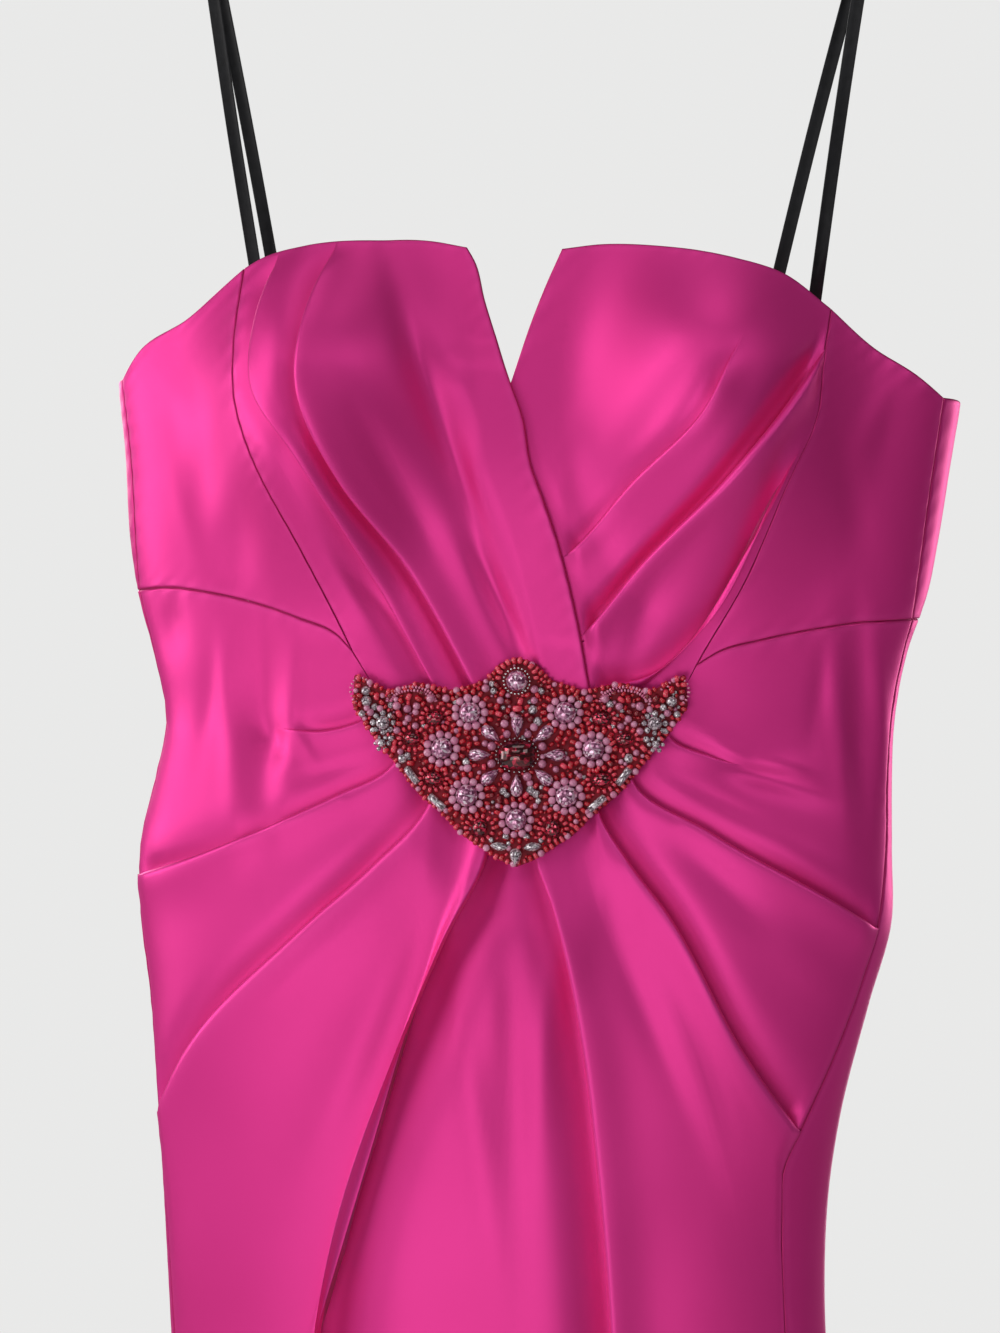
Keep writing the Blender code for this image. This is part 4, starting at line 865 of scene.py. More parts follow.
def cup_right():
    """The right cup: three pleats from under the lap that fade out at the side. Returns its outer edge."""
    under = Edge(UNDERLAP)
    outer_edge = Edge(NOTCH_RIGHT, TOP_RIGHT, [*PRINCESS_RIGHT, CORNER_RIGHT])
    arc = Edge(WAIST_ARC)
    rows = close_to_ends(96, 0.003, 1.1)
    seat = arc.find(0, 0, UNDERLAP[-1][0])
    waist = arc.at(seat + (1 - seat) * rows)
    guides = (
        (0.0, 1.0, NOTCH_RIGHT[1:-1], FLAT, 16),
        (under.find(0, 1, 108), outer_edge.find(1, 0, 77), [(20, 82), (52, 46)], FLAT, 14),
        (under.find(0, 1, 166), outer_edge.find(1, 0, 124), [(21, 158), (53, 125), (90, 92), (103, 66)],
         Fold(1, 2.2, 2.5, 9, 6, 150, 0.9), 4),
        (under.find(0, 1, 186), 2.0, [(24, 178), (66, 140), (106, 98), (126, 66)], FLAT, 4),
        (under.find(0, 1, 206), outer_edge.find(2, 1, 62), [(28, 196.6), (57, 163), (99, 123), (122, 96)],
         Fold(1, 4.0, 4.5, 11, 8, 205, 0.9), 4),
        (under.find(0, 1, 230), outer_edge.find(2, 1, 96), [(36, 222), (63, 214), (91, 188), (120, 134)],
         Fold(1, 2.5, 3.5, 10, 9, 175, 0.4), 12),
        (under.find(0, 1, 240), outer_edge.find(2, 1, 210), [(44, 232), (66, 223)], FLAT, 6),
        (1.0, 3.0, [], FLAT, 0),
    )

    def flat_under_lap(x, below, up):
        clear = smooth((x - np.interp(below, lap_line[:, 1], lap_line[:, 0]) - 1) / 8)
        clear = np.where(below < 74, 1, clear)
        return up * clear, front_forms(x, below) * clear + drift(x, below)

    made = fan(under, outer_edge, guides, rows, None, waist)
    panel_of_fan("satin_cup_right", "cup_right", made, flat_under_lap, BODICE_CLOTH)
    return outer_edge


cup_left()
right_edge = cup_right()

# %% [markdown]
# A side panel lies between the princess seam and the side seam. Its grid is a straight blend between the
# two seams, and what its top and waist lines differ from that blend is spread over the rows.

# %% Side panels and back
SIDE_COLUMNS = close_to_ends(46, 0.012)
BACK_COLUMNS = close_to_ends(60, 0.0035)


def side_panel(name, node, inner, seam, top, waist, fractions):
    """Rows from the top edge to the waist, columns from the princess seam to the side seam."""
    outer = line(seam, fractions)
    grid = inner[:, None] + (outer - inner)[:, None] * SIDE_COLUMNS[None, :, None]
    down = fractions[:, None, None]
    off_top, off_waist = line(top, SIDE_COLUMNS) - grid[0], line(waist, SIDE_COLUMNS) - grid[-1]
    grid = grid + off_top * (1 - down) + off_waist * down
    x, below = grid[..., 0], grid[..., 1]
    soft = front_forms(x, below) + drift(x, below)
    at = skin(x, below)
    cloth_wall(name, node, at, at, soft, np.minimum(soft, 0), BODICE_CLOTH)


ZIP_HALF, ZIP_TOP, ZIP_END, ZIP_CLOSE = 2.6, 90.0, 360.0, 14.0


def zip_open(below):
    """How far the zip's gap is open: 1 along the zip, and from 1 to 0 below its lower end."""
    return 1 - smooth((below - ZIP_END - 2) / ZIP_CLOSE)


def back_panel(name, node, seam, centre_top, centre_foot, thick):
    """Rows down the side seam, columns round the side to the centre back, where the zip's gap closes."""
    seam_x, seam_below = seam[:, 0], seam[:, 1]
    left, right, _, _ = form(seam_below)
    reach = np.where(seam_x < 0, left, right)
    start = np.arccos(np.clip((np.abs(seam_x) / reach) ** (ROUNDNESS / 2), 0, 1))
    share = (seam_below - seam_below[0]) / (seam_below[-1] - seam_below[0])
    centre_below = centre_top + share * (centre_foot - centre_top)
    turn = BACK_COLUMNS[None, :]
    below = seam_below[:, None] + (centre_below - seam_below)[:, None] * smooth(turn)
    left, right, front, back = form(below)
    reach = np.where(seam_x[:, None] < 0, left, right)
    gap = (ZIP_HALF + SEAM / 2) * zip_open(centre_below) + 0.02
    stop = -np.arccos((gap / reach[:, -1]) ** (ROUNDNESS / 2))
    angle = start[:, None] + (stop - start)[:, None] * turn
    x = np.sign(seam_x)[:, None] * reach * np.abs(np.cos(angle)) ** (2 / ROUNDNESS)
    span = np.where(angle > 0, front, back)
    plain = np.sign(angle) * span * np.abs(np.sin(angle)) ** (2 / ROUNDNESS)
    at = skin(x, below, plain)
    quiet = smooth(edge_distance(at[0]) / 25)
    creases = bells(x, below, BACK_CREASES, BACK_RISE) * (plain < 0)
    soft = (creases + flutes(x, below)) * quiet + drift(x, below) * quiet
    cloth_wall(name, node, at, at, soft, np.minimum(soft, 0), thick)


side_rows = close_to_ends(80, 0.003)
princess_right = right_edge.at(2 + side_rows * (right_edge.find(2, 1, PRINCESS_RIGHT[-1][1]) - 2))
for side, princess, seam, top, waist in (
        ("left", line(PRINCESS_LEFT, side_rows), SIDE_SEAM_LEFT, SIDE_TOP_LEFT[::-1], WAIST_LEFT),
        ("right", princess_right, SIDE_SEAM_RIGHT, SIDE_TOP_RIGHT, WAIST_RIGHT)):
    side_panel(f"satin_side_{side}", f"side_front_{side}", princess, seam, top, waist, side_rows)
for side, seam in (("left", SIDE_SEAM_LEFT), ("right", SIDE_SEAM_RIGHT)):
    seam_points = line(seam, side_rows)
    back_panel(f"satin_back_{side}", f"back_bodice_{side}", seam_points, BACK_TOP, BACK_WAIST, BODICE_CLOTH)

# %% [markdown]
# The skirt front is one piece of satin, pleated into the curved seam under the ornament. Eight pleats
# spread from it: four run out at the sides, two fade into dimples, and two run down beside the sunk middle.

# %% Skirt
HIP_SEAM_LEFT = [(-199.4, 172), (-192, 205), (-186.5, 240), (-191, 265), (-199, 300), (-199, 335),
                 (-194, 375), (-189.5, 430), (-186, 470), (-168, 850)]
HIP_SEAM_RIGHT = [(186.4, 188), (182, 205), (176, 240), (174.5, 265), (174, 300), (170, 336), (159, 373),
                  (149, 399), (134.5, 431), (125, 452), (124, 480), (127, 560), (142, 850)]


def skirt_front():
    """The front of the skirt: a fan from the seam under the ornament to both side seams and the hem."""
    arc = Edge(WAIST_ARC)
    rim = Edge(HIP_SEAM_LEFT, [HIP_SEAM_LEFT[-1], HIP_SEAM_RIGHT[-1]], HIP_SEAM_RIGHT[::-1])
    counts = close_to_ends(104, 0.0018)
    rows = counts ** 1.06
    stub_end = 2 / 19
    tracks = []
    for corner, waist in ((CORNER_LEFT, WAIST_LEFT), (CORNER_RIGHT, WAIST_RIGHT)):
        stub = line([corner, waist[0]], np.clip(counts / stub_end, 0, 1))
        along = line(waist, np.clip((counts - stub_end) / (1 - stub_end), 0, 1))
        tracks.append(np.where((counts < stub_end)[:, None], stub, along))
    guides = (
        (0.0, 0.0, [], FLAT, 10),
        (arc.find(0, 0, -66), rim.find(0, 1, 238), [(-80, 237), (-98, 242), (-119, 241), (-150, 238)],
         Fold(1, 2.0, 2.5, 9, 6, 62, 0.8), 5),
        (arc.find(0, 0, -52), rim.find(0, 1, 316), [(-65, 260), (-91, 273.5), (-142, 296), (-170, 306.5)],
         Fold(1, 3.6, 3.5, 13, 8, 999, 1.0), 8),
        (arc.find(0, 0, -38), rim.find(0, 1, 436), [(-46, 278), (-73, 307), (-108, 338), (-171, 402.5)],
         Fold(1, 3.2, 4.5, 14, 10, 999, 1.0), 12),
        (arc.find(0, 0, -25), 1.0, [(-32, 300), (-66, 420), (-125, 620)], FLAT, 8),
        (arc.find(0, 0, -12), rim.find(1, 0, -100), [(-17, 303), (-38, 345), (-58, 390), (-84, 457)],
         Fold(-1, 4.8, 11.5, 15, 22, 9999, 1.0), 22),
        (arc.find(0, 0, 6), rim.find(1, 0, 52), [(6, 301), (15, 326), (30, 397), (36, 449)],
         Fold(1, 3.4, 8.0, 14, 15, 9999, 1.0), 8),
        (arc.find(0, 0, 24), 2.0, [(30, 300), (74, 420), (116, 620)], FLAT, 10),
        (arc.find(0, 0, 38), rim.find(2, 1, 434), [(37, 279), (52, 304), (70, 327.5), (108, 397)],
         Fold(-1, 3.4, 5.0, 13, 9, 999, 1.0), 8),
        (arc.find(0, 0, 52), rim.find(2, 1, 337), [(53, 264), (91, 290), (151, 324.5)],
         Fold(-1, 3.8, 3.5, 13, 8, 999, 1.0), 5),
        (arc.find(0, 0, 66), rim.find(2, 1, 275), [(72, 245), (91, 253.5), (102, 257), (140, 268)],
         Fold(-1, 2.2, 2.5, 9, 6, 52, 0.8), 10),
        (1.0, 3.0, [], FLAT, 0),
    )

    def fluted(x, below, up):
        return up, front_forms(x, below) + drift(x, below) + flutes(x, below)

    panel_of_fan("satin_skirt_front", "skirt_front", fan(arc, rim, guides, rows, *tracks), fluted,
                 SKIRT_CLOTH)


skirt_front()
skirt_rows = close_to_ends(120, 0.0006)
for side, seam in (("left", HIP_SEAM_LEFT), ("right", HIP_SEAM_RIGHT)):
    seam_points = line(seam, skirt_rows)
    back_panel(f"satin_skirt_back_{side}", f"skirt_back_{side}", seam_points, BACK_WAIST, HEM, SKIRT_CLOTH)

# %% [markdown]
# The ornament is a stiff ground covered with stones and beads. Stones of one sort are one piece that stands
# in the place of their CAD solids. Foiled glass shows some facets bright and some dark, so each facet gets
# its own glint, a number that its finish turns into a colour: a painted reflection. All random draws come
# from one seeded source.

# %% Glass, pearl and metal finishes
draws = np.random.default_rng(7)
GLOSS = {"Coat Weight": 0.5, "Coat Roughness": 0.04, "Specular IOR Level": 0.6, "IOR": 1.55}


def facet_finish(name, shades, levels):
    """Foiled glass: each facet's glint picks a painted reflection, dark to bright, and a fine noise breaks
    it up.
    """
    made, tree, shader = new_finish(name, shades[1], 0.08, levels)
    glint = add_node(tree, "ShaderNodeAttribute", attribute_name="glint")
    ramp = add_node(tree, "ShaderNodeValToRGB")
    ramp.color_ramp.elements[0].color = (*shades[0], 1)
    ramp.color_ramp.elements[1].color = (*shades[2], 1)
    middle = ramp.color_ramp.elements.new(0.55)
    middle.color = (*shades[1], 1)
    noise = add_node(tree, "ShaderNodeTexNoise", {"Scale": 900.0, "Detail": 1.0})
    join(tree, (add_node(tree, "ShaderNodeTexCoord"), "Object"), (noise, "Vector"))
    spread = add_node(tree, "ShaderNodeMath", {1: 0.35, 2: -0.17}, operation="MULTIPLY_ADD")
    join(tree, (noise, "Fac"), (spread, 0))
    total = add_node(tree, "ShaderNodeMath", operation="ADD", use_clamp=True)
    join(tree, (glint, "Fac"), (total, 0))
    join(tree, (spread, "Value"), (total, 1))
    join(tree, (total, "Value"), (ramp, "Fac"))
    join(tree, (ramp, "Color"), (shader, "Base Color"))
    return made


def spotted_finish(name, first, second, scale, roughness, levels):
    """A finish mottled between two shades."""
    made, tree, shader = new_finish(name, first, roughness, levels)
    mottle(tree, shader, first, second, scale, detail=1.0)
    return made


FOIL = {**GLOSS, "Metallic": 0.35}
RED_STONE = facet_finish("garnet_glass", ((0.02, 0.002, 0.004), (0.20, 0.005, 0.015), (0.95, 0.04, 0.12)),
                         FOIL)
PINK_STONE = facet_finish("rose_glass", ((0.16, 0.03, 0.09), (0.66, 0.25, 0.44), (1.0, 0.84, 0.94)), FOIL)
CLEAR_STONE = facet_finish("clear_glass", ((0.10, 0.06, 0.08), (0.60, 0.48, 0.55), (1.0, 0.97, 0.98)), FOIL)
RED_BEAD = spotted_finish("red_beads", (0.68, 0.008, 0.028), (0.46, 0.004, 0.016), 260, 0.12, GLOSS)
DEEP_BEAD = spotted_finish("deep_red_beads", (0.30, 0.004, 0.016), (0.18, 0.002, 0.01), 260, 0.12, GLOSS)
CORAL_BEAD = spotted_finish("coral_beads", (0.88, 0.07, 0.13), (0.78, 0.025, 0.06), 260, 0.12, GLOSS)
PINK_BEAD = spotted_finish("lined_pink_beads", (0.88, 0.30, 0.47), (0.74, 0.15, 0.32), 300, 0.16, GLOSS)
PETAL_BEAD = spotted_finish("pale_rose_beads", (0.80, 0.36, 0.52), (0.66, 0.20, 0.36), 300, 0.08, GLOSS)
PEARL = spotted_finish("mauve_pearls", (0.68, 0.26, 0.40), (0.52, 0.15, 0.28), 120, 0.22,
                       {"Coat Weight": 0.7, "Coat Roughness": 0.1, "Metallic": 0.2})
SILVER = spotted_finish("silver_settings", (0.72, 0.70, 0.70), (0.55, 0.53, 0.54), 200, 0.22,
                        {"Metallic": 1.0})
GROUND = spotted_finish("red_ground", (0.34, 0.004, 0.022), (0.22, 0.003, 0.016), 140, 0.7, {})
print("stone finishes", RED_STONE.name, PINK_STONE.name, CLEAR_STONE.name)

# %% [markdown]
# Places on the ornament are given from its middle, to the right and down, and a height over the dress's
# form. A shape is repeated by giving each copy its seat, its three directions and its three sizes, all as
# arrays.

# %% Repeating a shape
MOTIF_FACE = 6.2


def on_motif(right, down, height):
    """Seats at a height over the form, and the directions sideways, down and out at each of them."""
    right, down = np.asarray(right, float), np.asarray(down, float)
    seat, out = skin(MOTIF_AT[0] + right, MOTIF_AT[1] + down)
    side = unit(np.array([1.0, 0, 0]) - out * out[..., :1])
    drop = np.cross(out, side)
    drop = drop * np.sign(drop[..., 1:2])
    return seat + out * np.asarray(height, float)[..., None], np.stack([side, drop, out], -2)


def turn_flat(axes, angles):
    """Turns the first two directions of each frame by an angle in radians, about the third."""
    cos, sin = np.cos(angles)[:, None], np.sin(angles)[:, None]
    first, second = axes[:, 0], axes[:, 1]
    return np.stack([first * cos + second * sin, second * cos - first * sin, axes[:, 2]], 1)


def repeat(shape, seats, axes, sizes):
    """Copies of a shape: a point is its seat plus its coordinates times the sizes, along the directions."""
    points, faces = shape
    scaled = points[None] * np.asarray(sizes, float)[:, None, :]
    placed = seats[:, None, :] + np.einsum("nvk,nkc->nvc", scaled, axes)
    shift = np.arange(len(seats))[:, None, None] * len(points)
    return placed.reshape(-1, 3), [(f[None] + shift).reshape(-1, f.shape[1]) for f in faces]


def gather(parts):
    """Several (points, faces) as one, with the faces' numbers moved on."""
    start, all_points, all_faces = 0, [], []
    for points, faces in parts:
        all_points.append(points)
        all_faces += [f + start for f in faces]
        start += len(points)
    return np.concatenate(all_points), all_faces


def ball_shape(around=9, rings=5):
    """A ball: circles of points between two poles."""
    turn = np.arange(around) * 2 * math.pi / around
    tilt = np.linspace(-math.pi / 2, math.pi / 2, rings + 2)[1:-1, None]
    out, up = np.cos(tilt), np.sin(tilt)
    circles = np.stack([out * np.cos(turn), out * np.sin(turn), up + 0 * turn], -1)
    points = np.concatenate([circles.reshape(-1, 3), [(0, 0, -1), (0, 0, 1)]])
    k = np.arange(around)
    after = (k + 1) % around
    low, high = rings * around, rings * around + 1
    top = (rings - 1) * around
    caps = np.concatenate([np.stack([after, k, 0 * k + low], -1),
                           np.stack([top + k, top + after, 0 * k + high], -1)])
    return points, [grid_faces(rings, around, closed=True), caps]


def ring_faces(rings, around):
    """Quads of a ring's surface: both directions of its grid of points are closed."""
    number = np.arange(rings * around).reshape(rings, around)
    after, below = np.roll(number, -1, 1), np.roll(number, -1, 0)
    return np.stack([number, after, np.roll(below, -1, 1), below], -1).reshape(-1, 4)


def ring_shape(profile, around):
    """A closed profile of (way out, height) carried round the third direction."""
    turn = np.arange(around) * 2 * math.pi / around
    profile = np.asarray(profile, float)
    points = np.stack([profile[:, :1] * np.cos(turn), profile[:, :1] * np.sin(turn),
                       profile[:, 1:] + 0 * turn], -1).reshape(-1, 3)
    return points, [ring_faces(len(profile), around)]


BALL = ball_shape()
BEAD_PROFILE = [(0.40, -0.60), (0.84, -0.50), (1.0, 0.0), (0.84, 0.50), (0.40, 0.60), (0.32, 0.0)]
bead_points, bead_faces = ring_shape(BEAD_PROFILE, 8)
BEAD = (bead_points[:, [2, 0, 1]], bead_faces)
print("triangles in a bead", 2 * len(bead_faces[0]))

# %% [markdown]
# A cut stone is a stack of rings of one outline: a culet, a girdle, crown rings turned by half a step, and
# a table. Rings that are half a step apart join in triangles, which are the kite and star facets of a real
# cut.

# %% Cut stones
# Each ring has its share of the outline, its level, and whether it is turned by half a step
GEM_RINGS = ((0.50, 0.0, 0), (1.0, 0.36, 0), (0.98, 0.46, 0), (0.82, 0.74, 1), (0.56, 1.0, 0))
CHEQUER_RINGS = (
    (0.50, 0.0, 0), (1.0, 0.34, 0), (0.97, 0.44, 0), (0.76, 0.70, 1), (0.50, 0.88, 0), (0.24, 0.97, 1),
)
STONES = (
    # sort, right, down, outline, half length, half width, height, turned, mirrored
    ("rose", 23, -21.4, "round", 5.3, 5.3, 5.8, 0, True),
    ("rose", 36.5, -3, "round", 5.3, 5.3, 5.8, 0, True),
    ("rose", 24, 19.7, "round", 5.4, 5.4, 5.8, 0, True), ("rose", 0, -37, "round", 5.2, 5.2, 5.8, 0, False),
    ("rose", 0, 31, "round", 5.2, 5.2, 5.8, 0, False), ("oval", 40, -18.5, "round", 4.6, 3.4, 4.6, 8, True),
    ("oval", 40.5, 11.5, "round", 4.6, 3.4, 4.6, -10, True),
    ("oval", 17.5, 35, "round", 3.9, 4.3, 4.6, 0, True),
    ("oval", 51, -8, "round", 4.2, 3.2, 4.6, 0, True), ("wing", 65.5, -16, "round", 3.4, 3.4, 4.6, 0, True),
    ("leaf", 51, 10, "baguette", 5.0, 1.9, 3.6, 128, True),
    ("leaf", 38.5, 23, "baguette", 5.2, 1.9, 3.6, 140, True),
    ("leaf", 8, 43.5, "navette", 4.4, 2.2, 3.8, 172, True),
    ("tail", 0, 48.5, "drop", 4.4, 3.0, 4.4, 90, False),
    ("wing", 73.5, -27, "round", 2.6, 2.6, 4.0, 0, True),
    ("wing", 66, -5.5, "round", 2.0, 2.0, 3.6, 0, True),
    ("centre", 0, 0, "cushion", 9.0, 7.0, 7.0, 0, False),
)
DROPS, DROP_RIGHT, DROP_DOWN = 8, 18.0, 14.6
NODES = {"rose": 8, "oval": 8, "leaf": 6, "wing": 2, "drop": 8, "tail": 0, "centre": 0}


def outline(kind, turn):
    """Outline of a stone at the given turns, one unit long each way from its middle."""
    along, across = np.cos(turn), np.sin(turn)
    if kind == "drop":
        across = across * np.sin(turn / 2) * 1.25
    if kind == "navette":
        across = across * np.sqrt(np.abs(across))
    power = {"cushion": 3.2, "baguette": 7.0}.get(kind)
    if power:
        size = (np.abs(along) ** power + np.abs(across) ** power) ** (1 / power)
        along, across = along / size, across / size
    return along, across


def facets(low, high, turned, turned_above, sides):
    """Triangles between the rings of points that start at low and high; turned rings make kites."""
    k = np.arange(sides)
    after = (k + 1) % sides
    if turned == turned_above:
        pair = ((low + k, low + after, high + after), (low + k, high + after, high + k))
    elif turned_above:
        pair = ((low + k, low + after, high + k), (low + after, high + after, high + k))
    else:
        pair = ((low + k, high + after, high + k), (low + k, low + after, high + after))
    return [np.stack(corners, -1) for corners in pair]


def stone_shape(kind, sides):
    """A cut stone: rings of its outline, closed by a point under the culet and one in the table."""
    cut = CHEQUER_RINGS if kind == "cushion" else GEM_RINGS
    rings = []
    for share, level, half_steps in cut:
        turn = (np.arange(sides) + 0.5 * half_steps) * 2 * math.pi / sides
        along, across = outline(kind, turn)
        rings.append(np.stack([along * share, across * share, np.full(sides, level)], -1))
    points = np.concatenate([*rings, [(0, 0, -0.08), (0, 0, 1.0)]])
    k = np.arange(sides)
    after = (k + 1) % sides
    faces = []
    for m in range(len(cut) - 1):
        faces += facets(m * sides, (m + 1) * sides, cut[m][2], cut[m + 1][2], sides)
    last, under, over = (len(cut) - 1) * sides, len(points) - 2, len(points) - 1
    faces.append(np.stack([after, k, 0 * k + under], -1))
    faces.append(np.stack([last + k, last + after, 0 * k + over], -1))
    return points, [np.concatenate(faces)]


sorts = {}
for sort, right, down, kind, half_length, half_width, height, turned, mirrored in STONES:
    for sign in (1, -1) if mirrored else (1,):
        angle = turned if sign > 0 else 180 - turned
        row = (sign * right, down, kind, half_length, half_width, height, angle)
        sorts.setdefault(sort, []).append(row)
sorts["drop"] = []
for i in range(DROPS):
    turn = 2 * math.pi * i / DROPS
    right, down = DROP_RIGHT * math.cos(turn), DROP_DOWN * math.sin(turn)
    inward = math.degrees(math.atan2(-down, -right))
    sorts["drop"].append((right, down, "drop", 5.6, 3.2, 5.2, inward))
PINK, RED, CLEAR = (PINK_STONE, "pink_glass"), (RED_STONE, "red_glass"), (CLEAR_STONE, "clear_glass")
GLASS = {
    "rose": PINK, "drop": PINK, "oval": RED, "centre": RED, "wing": CLEAR, "leaf": CLEAR, "tail": CLEAR,
}
for sort, rows in sorts.items():
    parts = []
    for right, down, kind, half_length, half_width, height, turned in rows:
        seat, axes = on_motif([right], [down], [MOTIF_FACE + 0.5])
        axes = turn_flat(axes, np.radians([turned]))
        parts.append(repeat(stone_shape(kind, 16), seat, axes, [(half_length, half_width, height)]))
    points, faces = gather(parts)
    count = sum(len(f) for f in faces)
    # Each facet's painted reflection, from dark to bright
    glint = draws.beta(0.6, 0.8 if sort != "centre" else 1.4, count)
    names = [f"stone_{sort}_{i + 1}" for i in range(NODES[sort])] or [f"stone_{sort}"]
    finish, slot = GLASS[sort]
    make_piece(f"cut_{sort}_stones", in_metres(points), faces, (finish,), replaces=names,
               marks={"glint": glint}, round_it=False)

# %% [markdown]
# The ground is a stiff felt with the ornament's outline. It is a grid from the outline in to its heart,
# domed a little, and it stays under the beads.

# %% Ground of the ornament
MOTIF_HALF = [(0, -48), (9, -45), (16, -37), (32, -32), (49, -36), (64, -32), (80, -40), (81, -24),
              (71, -9), (60, 4), (49, 18), (37, 28), (27, 38), (16, 45), (8, 50), (0, 53)]
HEART = np.array([0.0, 20.0])
GROUND_SIDES = 240
half = np.array(MOTIF_HALF, float)
motif_edge = np.concatenate([half, half[-2:0:-1] * (-1, 1)])
closed_edge = np.concatenate([motif_edge, motif_edge[:1]])
edge_run = length_along(closed_edge)


def along_edge(run):
    """Places right and down on the outline, at distances along it."""
    return [np.interp(run, edge_run, closed_edge[:, k]) for k in (0, 1)]


edge_points = np.stack(along_edge(np.linspace(0, edge_run[-1], GROUND_SIDES + 1)[:-1]), -1)
shares = np.array([0.02, 0.2, 0.4, 0.6, 0.8, 0.93, 0.985, 1.0])
heights = np.array([6.2, 6.2, 6.2, 6.15, 6.1, 6.0, 5.7, 5.2])
flat_rings = HEART + (edge_points[None] - HEART) * shares[:, None, None]
tops, _ = on_motif(flat_rings[..., 0], flat_rings[..., 1],
                   np.broadcast_to(heights[:, None], flat_rings.shape[:2]))
lows, _ = on_motif(flat_rings[..., 0], flat_rings[..., 1], np.full(flat_rings.shape[:2], 4.0))
shell = np.concatenate([tops, lows[::-1]])
number = np.arange(shell.shape[0] * GROUND_SIDES).reshape(-1, GROUND_SIDES)
ground_faces = [grid_faces(shell.shape[0], GROUND_SIDES, closed=True),
                np.stack([number[-1], np.roll(number[-1], -1), np.roll(number[0], -1), number[0]], -1)]
make_piece("motif_ground", in_metres(shell.reshape(-1, 3)), ground_faces, (GROUND,),
           replaces=("motif_backing",))

# %% [markdown]
# Beads lie where a beader would sew them: rings round the stones, rows along the upper edge and round the
# outline, pearls between the drops, and small glass beads that fill what is left. Each sort of bead
# collects its places as rows of (right, down, radius, height over the ground, turn) and becomes one piece.

# %% Places of the beads
bead_rows = {name: [] for name in ("red", "deep", "coral", "pink", "petal", "pearl", "silver", "crystal")}


def circle_of(sort, right, down, wide, tall, count, radius, up=0.0, first=0, last=360, mirrored=False):
    """Beads along an ellipse from one angle to another, with each bead's hole along the row."""
    whole = last - first >= 360
    turn = np.radians(np.linspace(first, last, count, endpoint=not whole))
    x, y = right + wide * np.cos(turn), down + tall * np.sin(turn)
    along = np.arctan2(tall * np.cos(turn), -wide * np.sin(turn))
    size = radius * draws.uniform(0.92, 1.08, count)
    bead_rows[sort].append(np.stack([x, y, size, np.full(count, up), along], -1))
    if mirrored:
        bead_rows[sort].append(np.stack([-x, y, size, np.full(count, up), -along], -1))


def single(sort, places):
    """Single beads on both sides of the ornament, from rows of (right, down, radius, up)."""
    rows = np.array(places, float)
    angles = draws.uniform(0, math.pi, len(rows))[:, None]
    for sign in (1, -1):
        bead_rows[sort].append(np.hstack([rows * (sign, 1, 1, 1), angles]))


for right, down, *_ in sorts["rose"][:-2]:
    circle_of("petal", right, down, 7.2, 7.2, 11, 2.05, up=0.3)
circle_of("silver", 0, -37, 6.3, 6.3, 22, 0.62, up=2.4)
circle_of("coral", 0, -37.5, 9.2, 9.4, 10, 1.75, first=186, last=354)
circle_of("petal", 0, 31, 7.0, 7.0, 11, 1.9, up=0.3)
for right, down in ((23, -21.4), (36.5, -3), (24, 19.7)):
    circle_of("red", right, down, 10.4, 10.4, 18, 1.75, mirrored=True, up=-0.1)
circle_of("red", 0, 31, 10.0, 10.0, 18, 1.6, up=-0.1)
for right, down in ((40, -18.5), (40.5, 11.5), (17.5, 35), (51, -8)):
    circle_of("coral", right, down, 6.6, 5.6, 14, 1.4, mirrored=True, up=0.2)
circle_of("pink", 51.5, -26.0, 12.0, 8.0, 22, 0.85, first=188, last=352, mirrored=True, up=0.6)
circle_of("pink", 51.5, -26.0, 10.2, 6.3, 19, 0.85, first=190, last=350, mirrored=True, up=0.5)
circle_of("pink", 76.5, -32, 5.0, 6.5, 13, 0.8, first=200, last=420, mirrored=True, up=0.3)
circle_of("crystal", 65.5, -16, 5.0, 5.0, 8, 1.35, up=0.6, mirrored=True)
circle_of("crystal", 66, -5.5, 3.2, 3.2, 6, 1.0, up=0.4, mirrored=True)
circle_of("silver", 0, 0, 10.2, 8.2, 26, 0.55, up=1.6)
circle_of("pearl", 0, 0, 13.2, 11.2, 8, 2.15, up=0.7, first=22.5, last=382.5)
# One large bead over the middle stone
circle_of("coral", 0, -23.4, 0.1, 0.1, 1, 2.6, first=0, last=0, up=0.6)
single("pearl", [(8.2, -27.4, 1.9, 0.6), (34.5, -28.4, 2.0, 0.6), (42, -28.3, 2.2, 0.8),
                 (48.8, -24.5, 2.0, 0.8), (58.5, -24.6, 2.2, 0.8), (53, -18.2, 1.9, 0.7),
                 (49.5, -14.4, 1.8, 0.7), (71.5, -21.2, 1.9, 0.6), (58.5, -12.0, 1.9, 0.7),
                 (56.8, -1.4, 1.7, 0.5), (29.5, -12.0, 1.5, 0.6), (13.8, 25.2, 1.4, 0.4),
                 (30.0, 9.8, 1.6, 0.5), (9.0, 24.4, 1.5, 0.4), (34.0, 27.0, 1.5, 0.4)])
single("deep", [(29.0, -29.0, 1.7, 0.5), (46.5, -31.0, 1.5, 0.3), (60, -19.0, 1.6, 0.6),
                (33.5, -10.0, 1.5, 0.5), (45.0, 4.2, 1.6, 0.5), (12.0, 19.5, 1.6, 0.5),
                (62, -29.5, 1.5, 0.4), (30.5, 6.2, 1.5, 0.4)])
single("crystal", [(11.5, -32.0, 1.6, 0.4), (30, -26.5, 1.4, 0.5), (69.5, -24.0, 1.6, 0.5),
                   (76.0, -20.5, 1.6, 0.4), (61.5, -8.0, 1.5, 0.4), (70.5, -12.0, 1.5, 0.3),
                   (45.6, -14.5, 1.2, 0.4), (5.0, 39.0, 1.5, 0.4), (12.0, 40.5, 1.3, 0.3)])

# %% [markdown]
# Round the outline runs a row of larger and smaller beads by turns. The filling is thrown at random inside
# the outline, the largest beads first, and keeps only those that don't press far into a stone or an earlier
# bead.

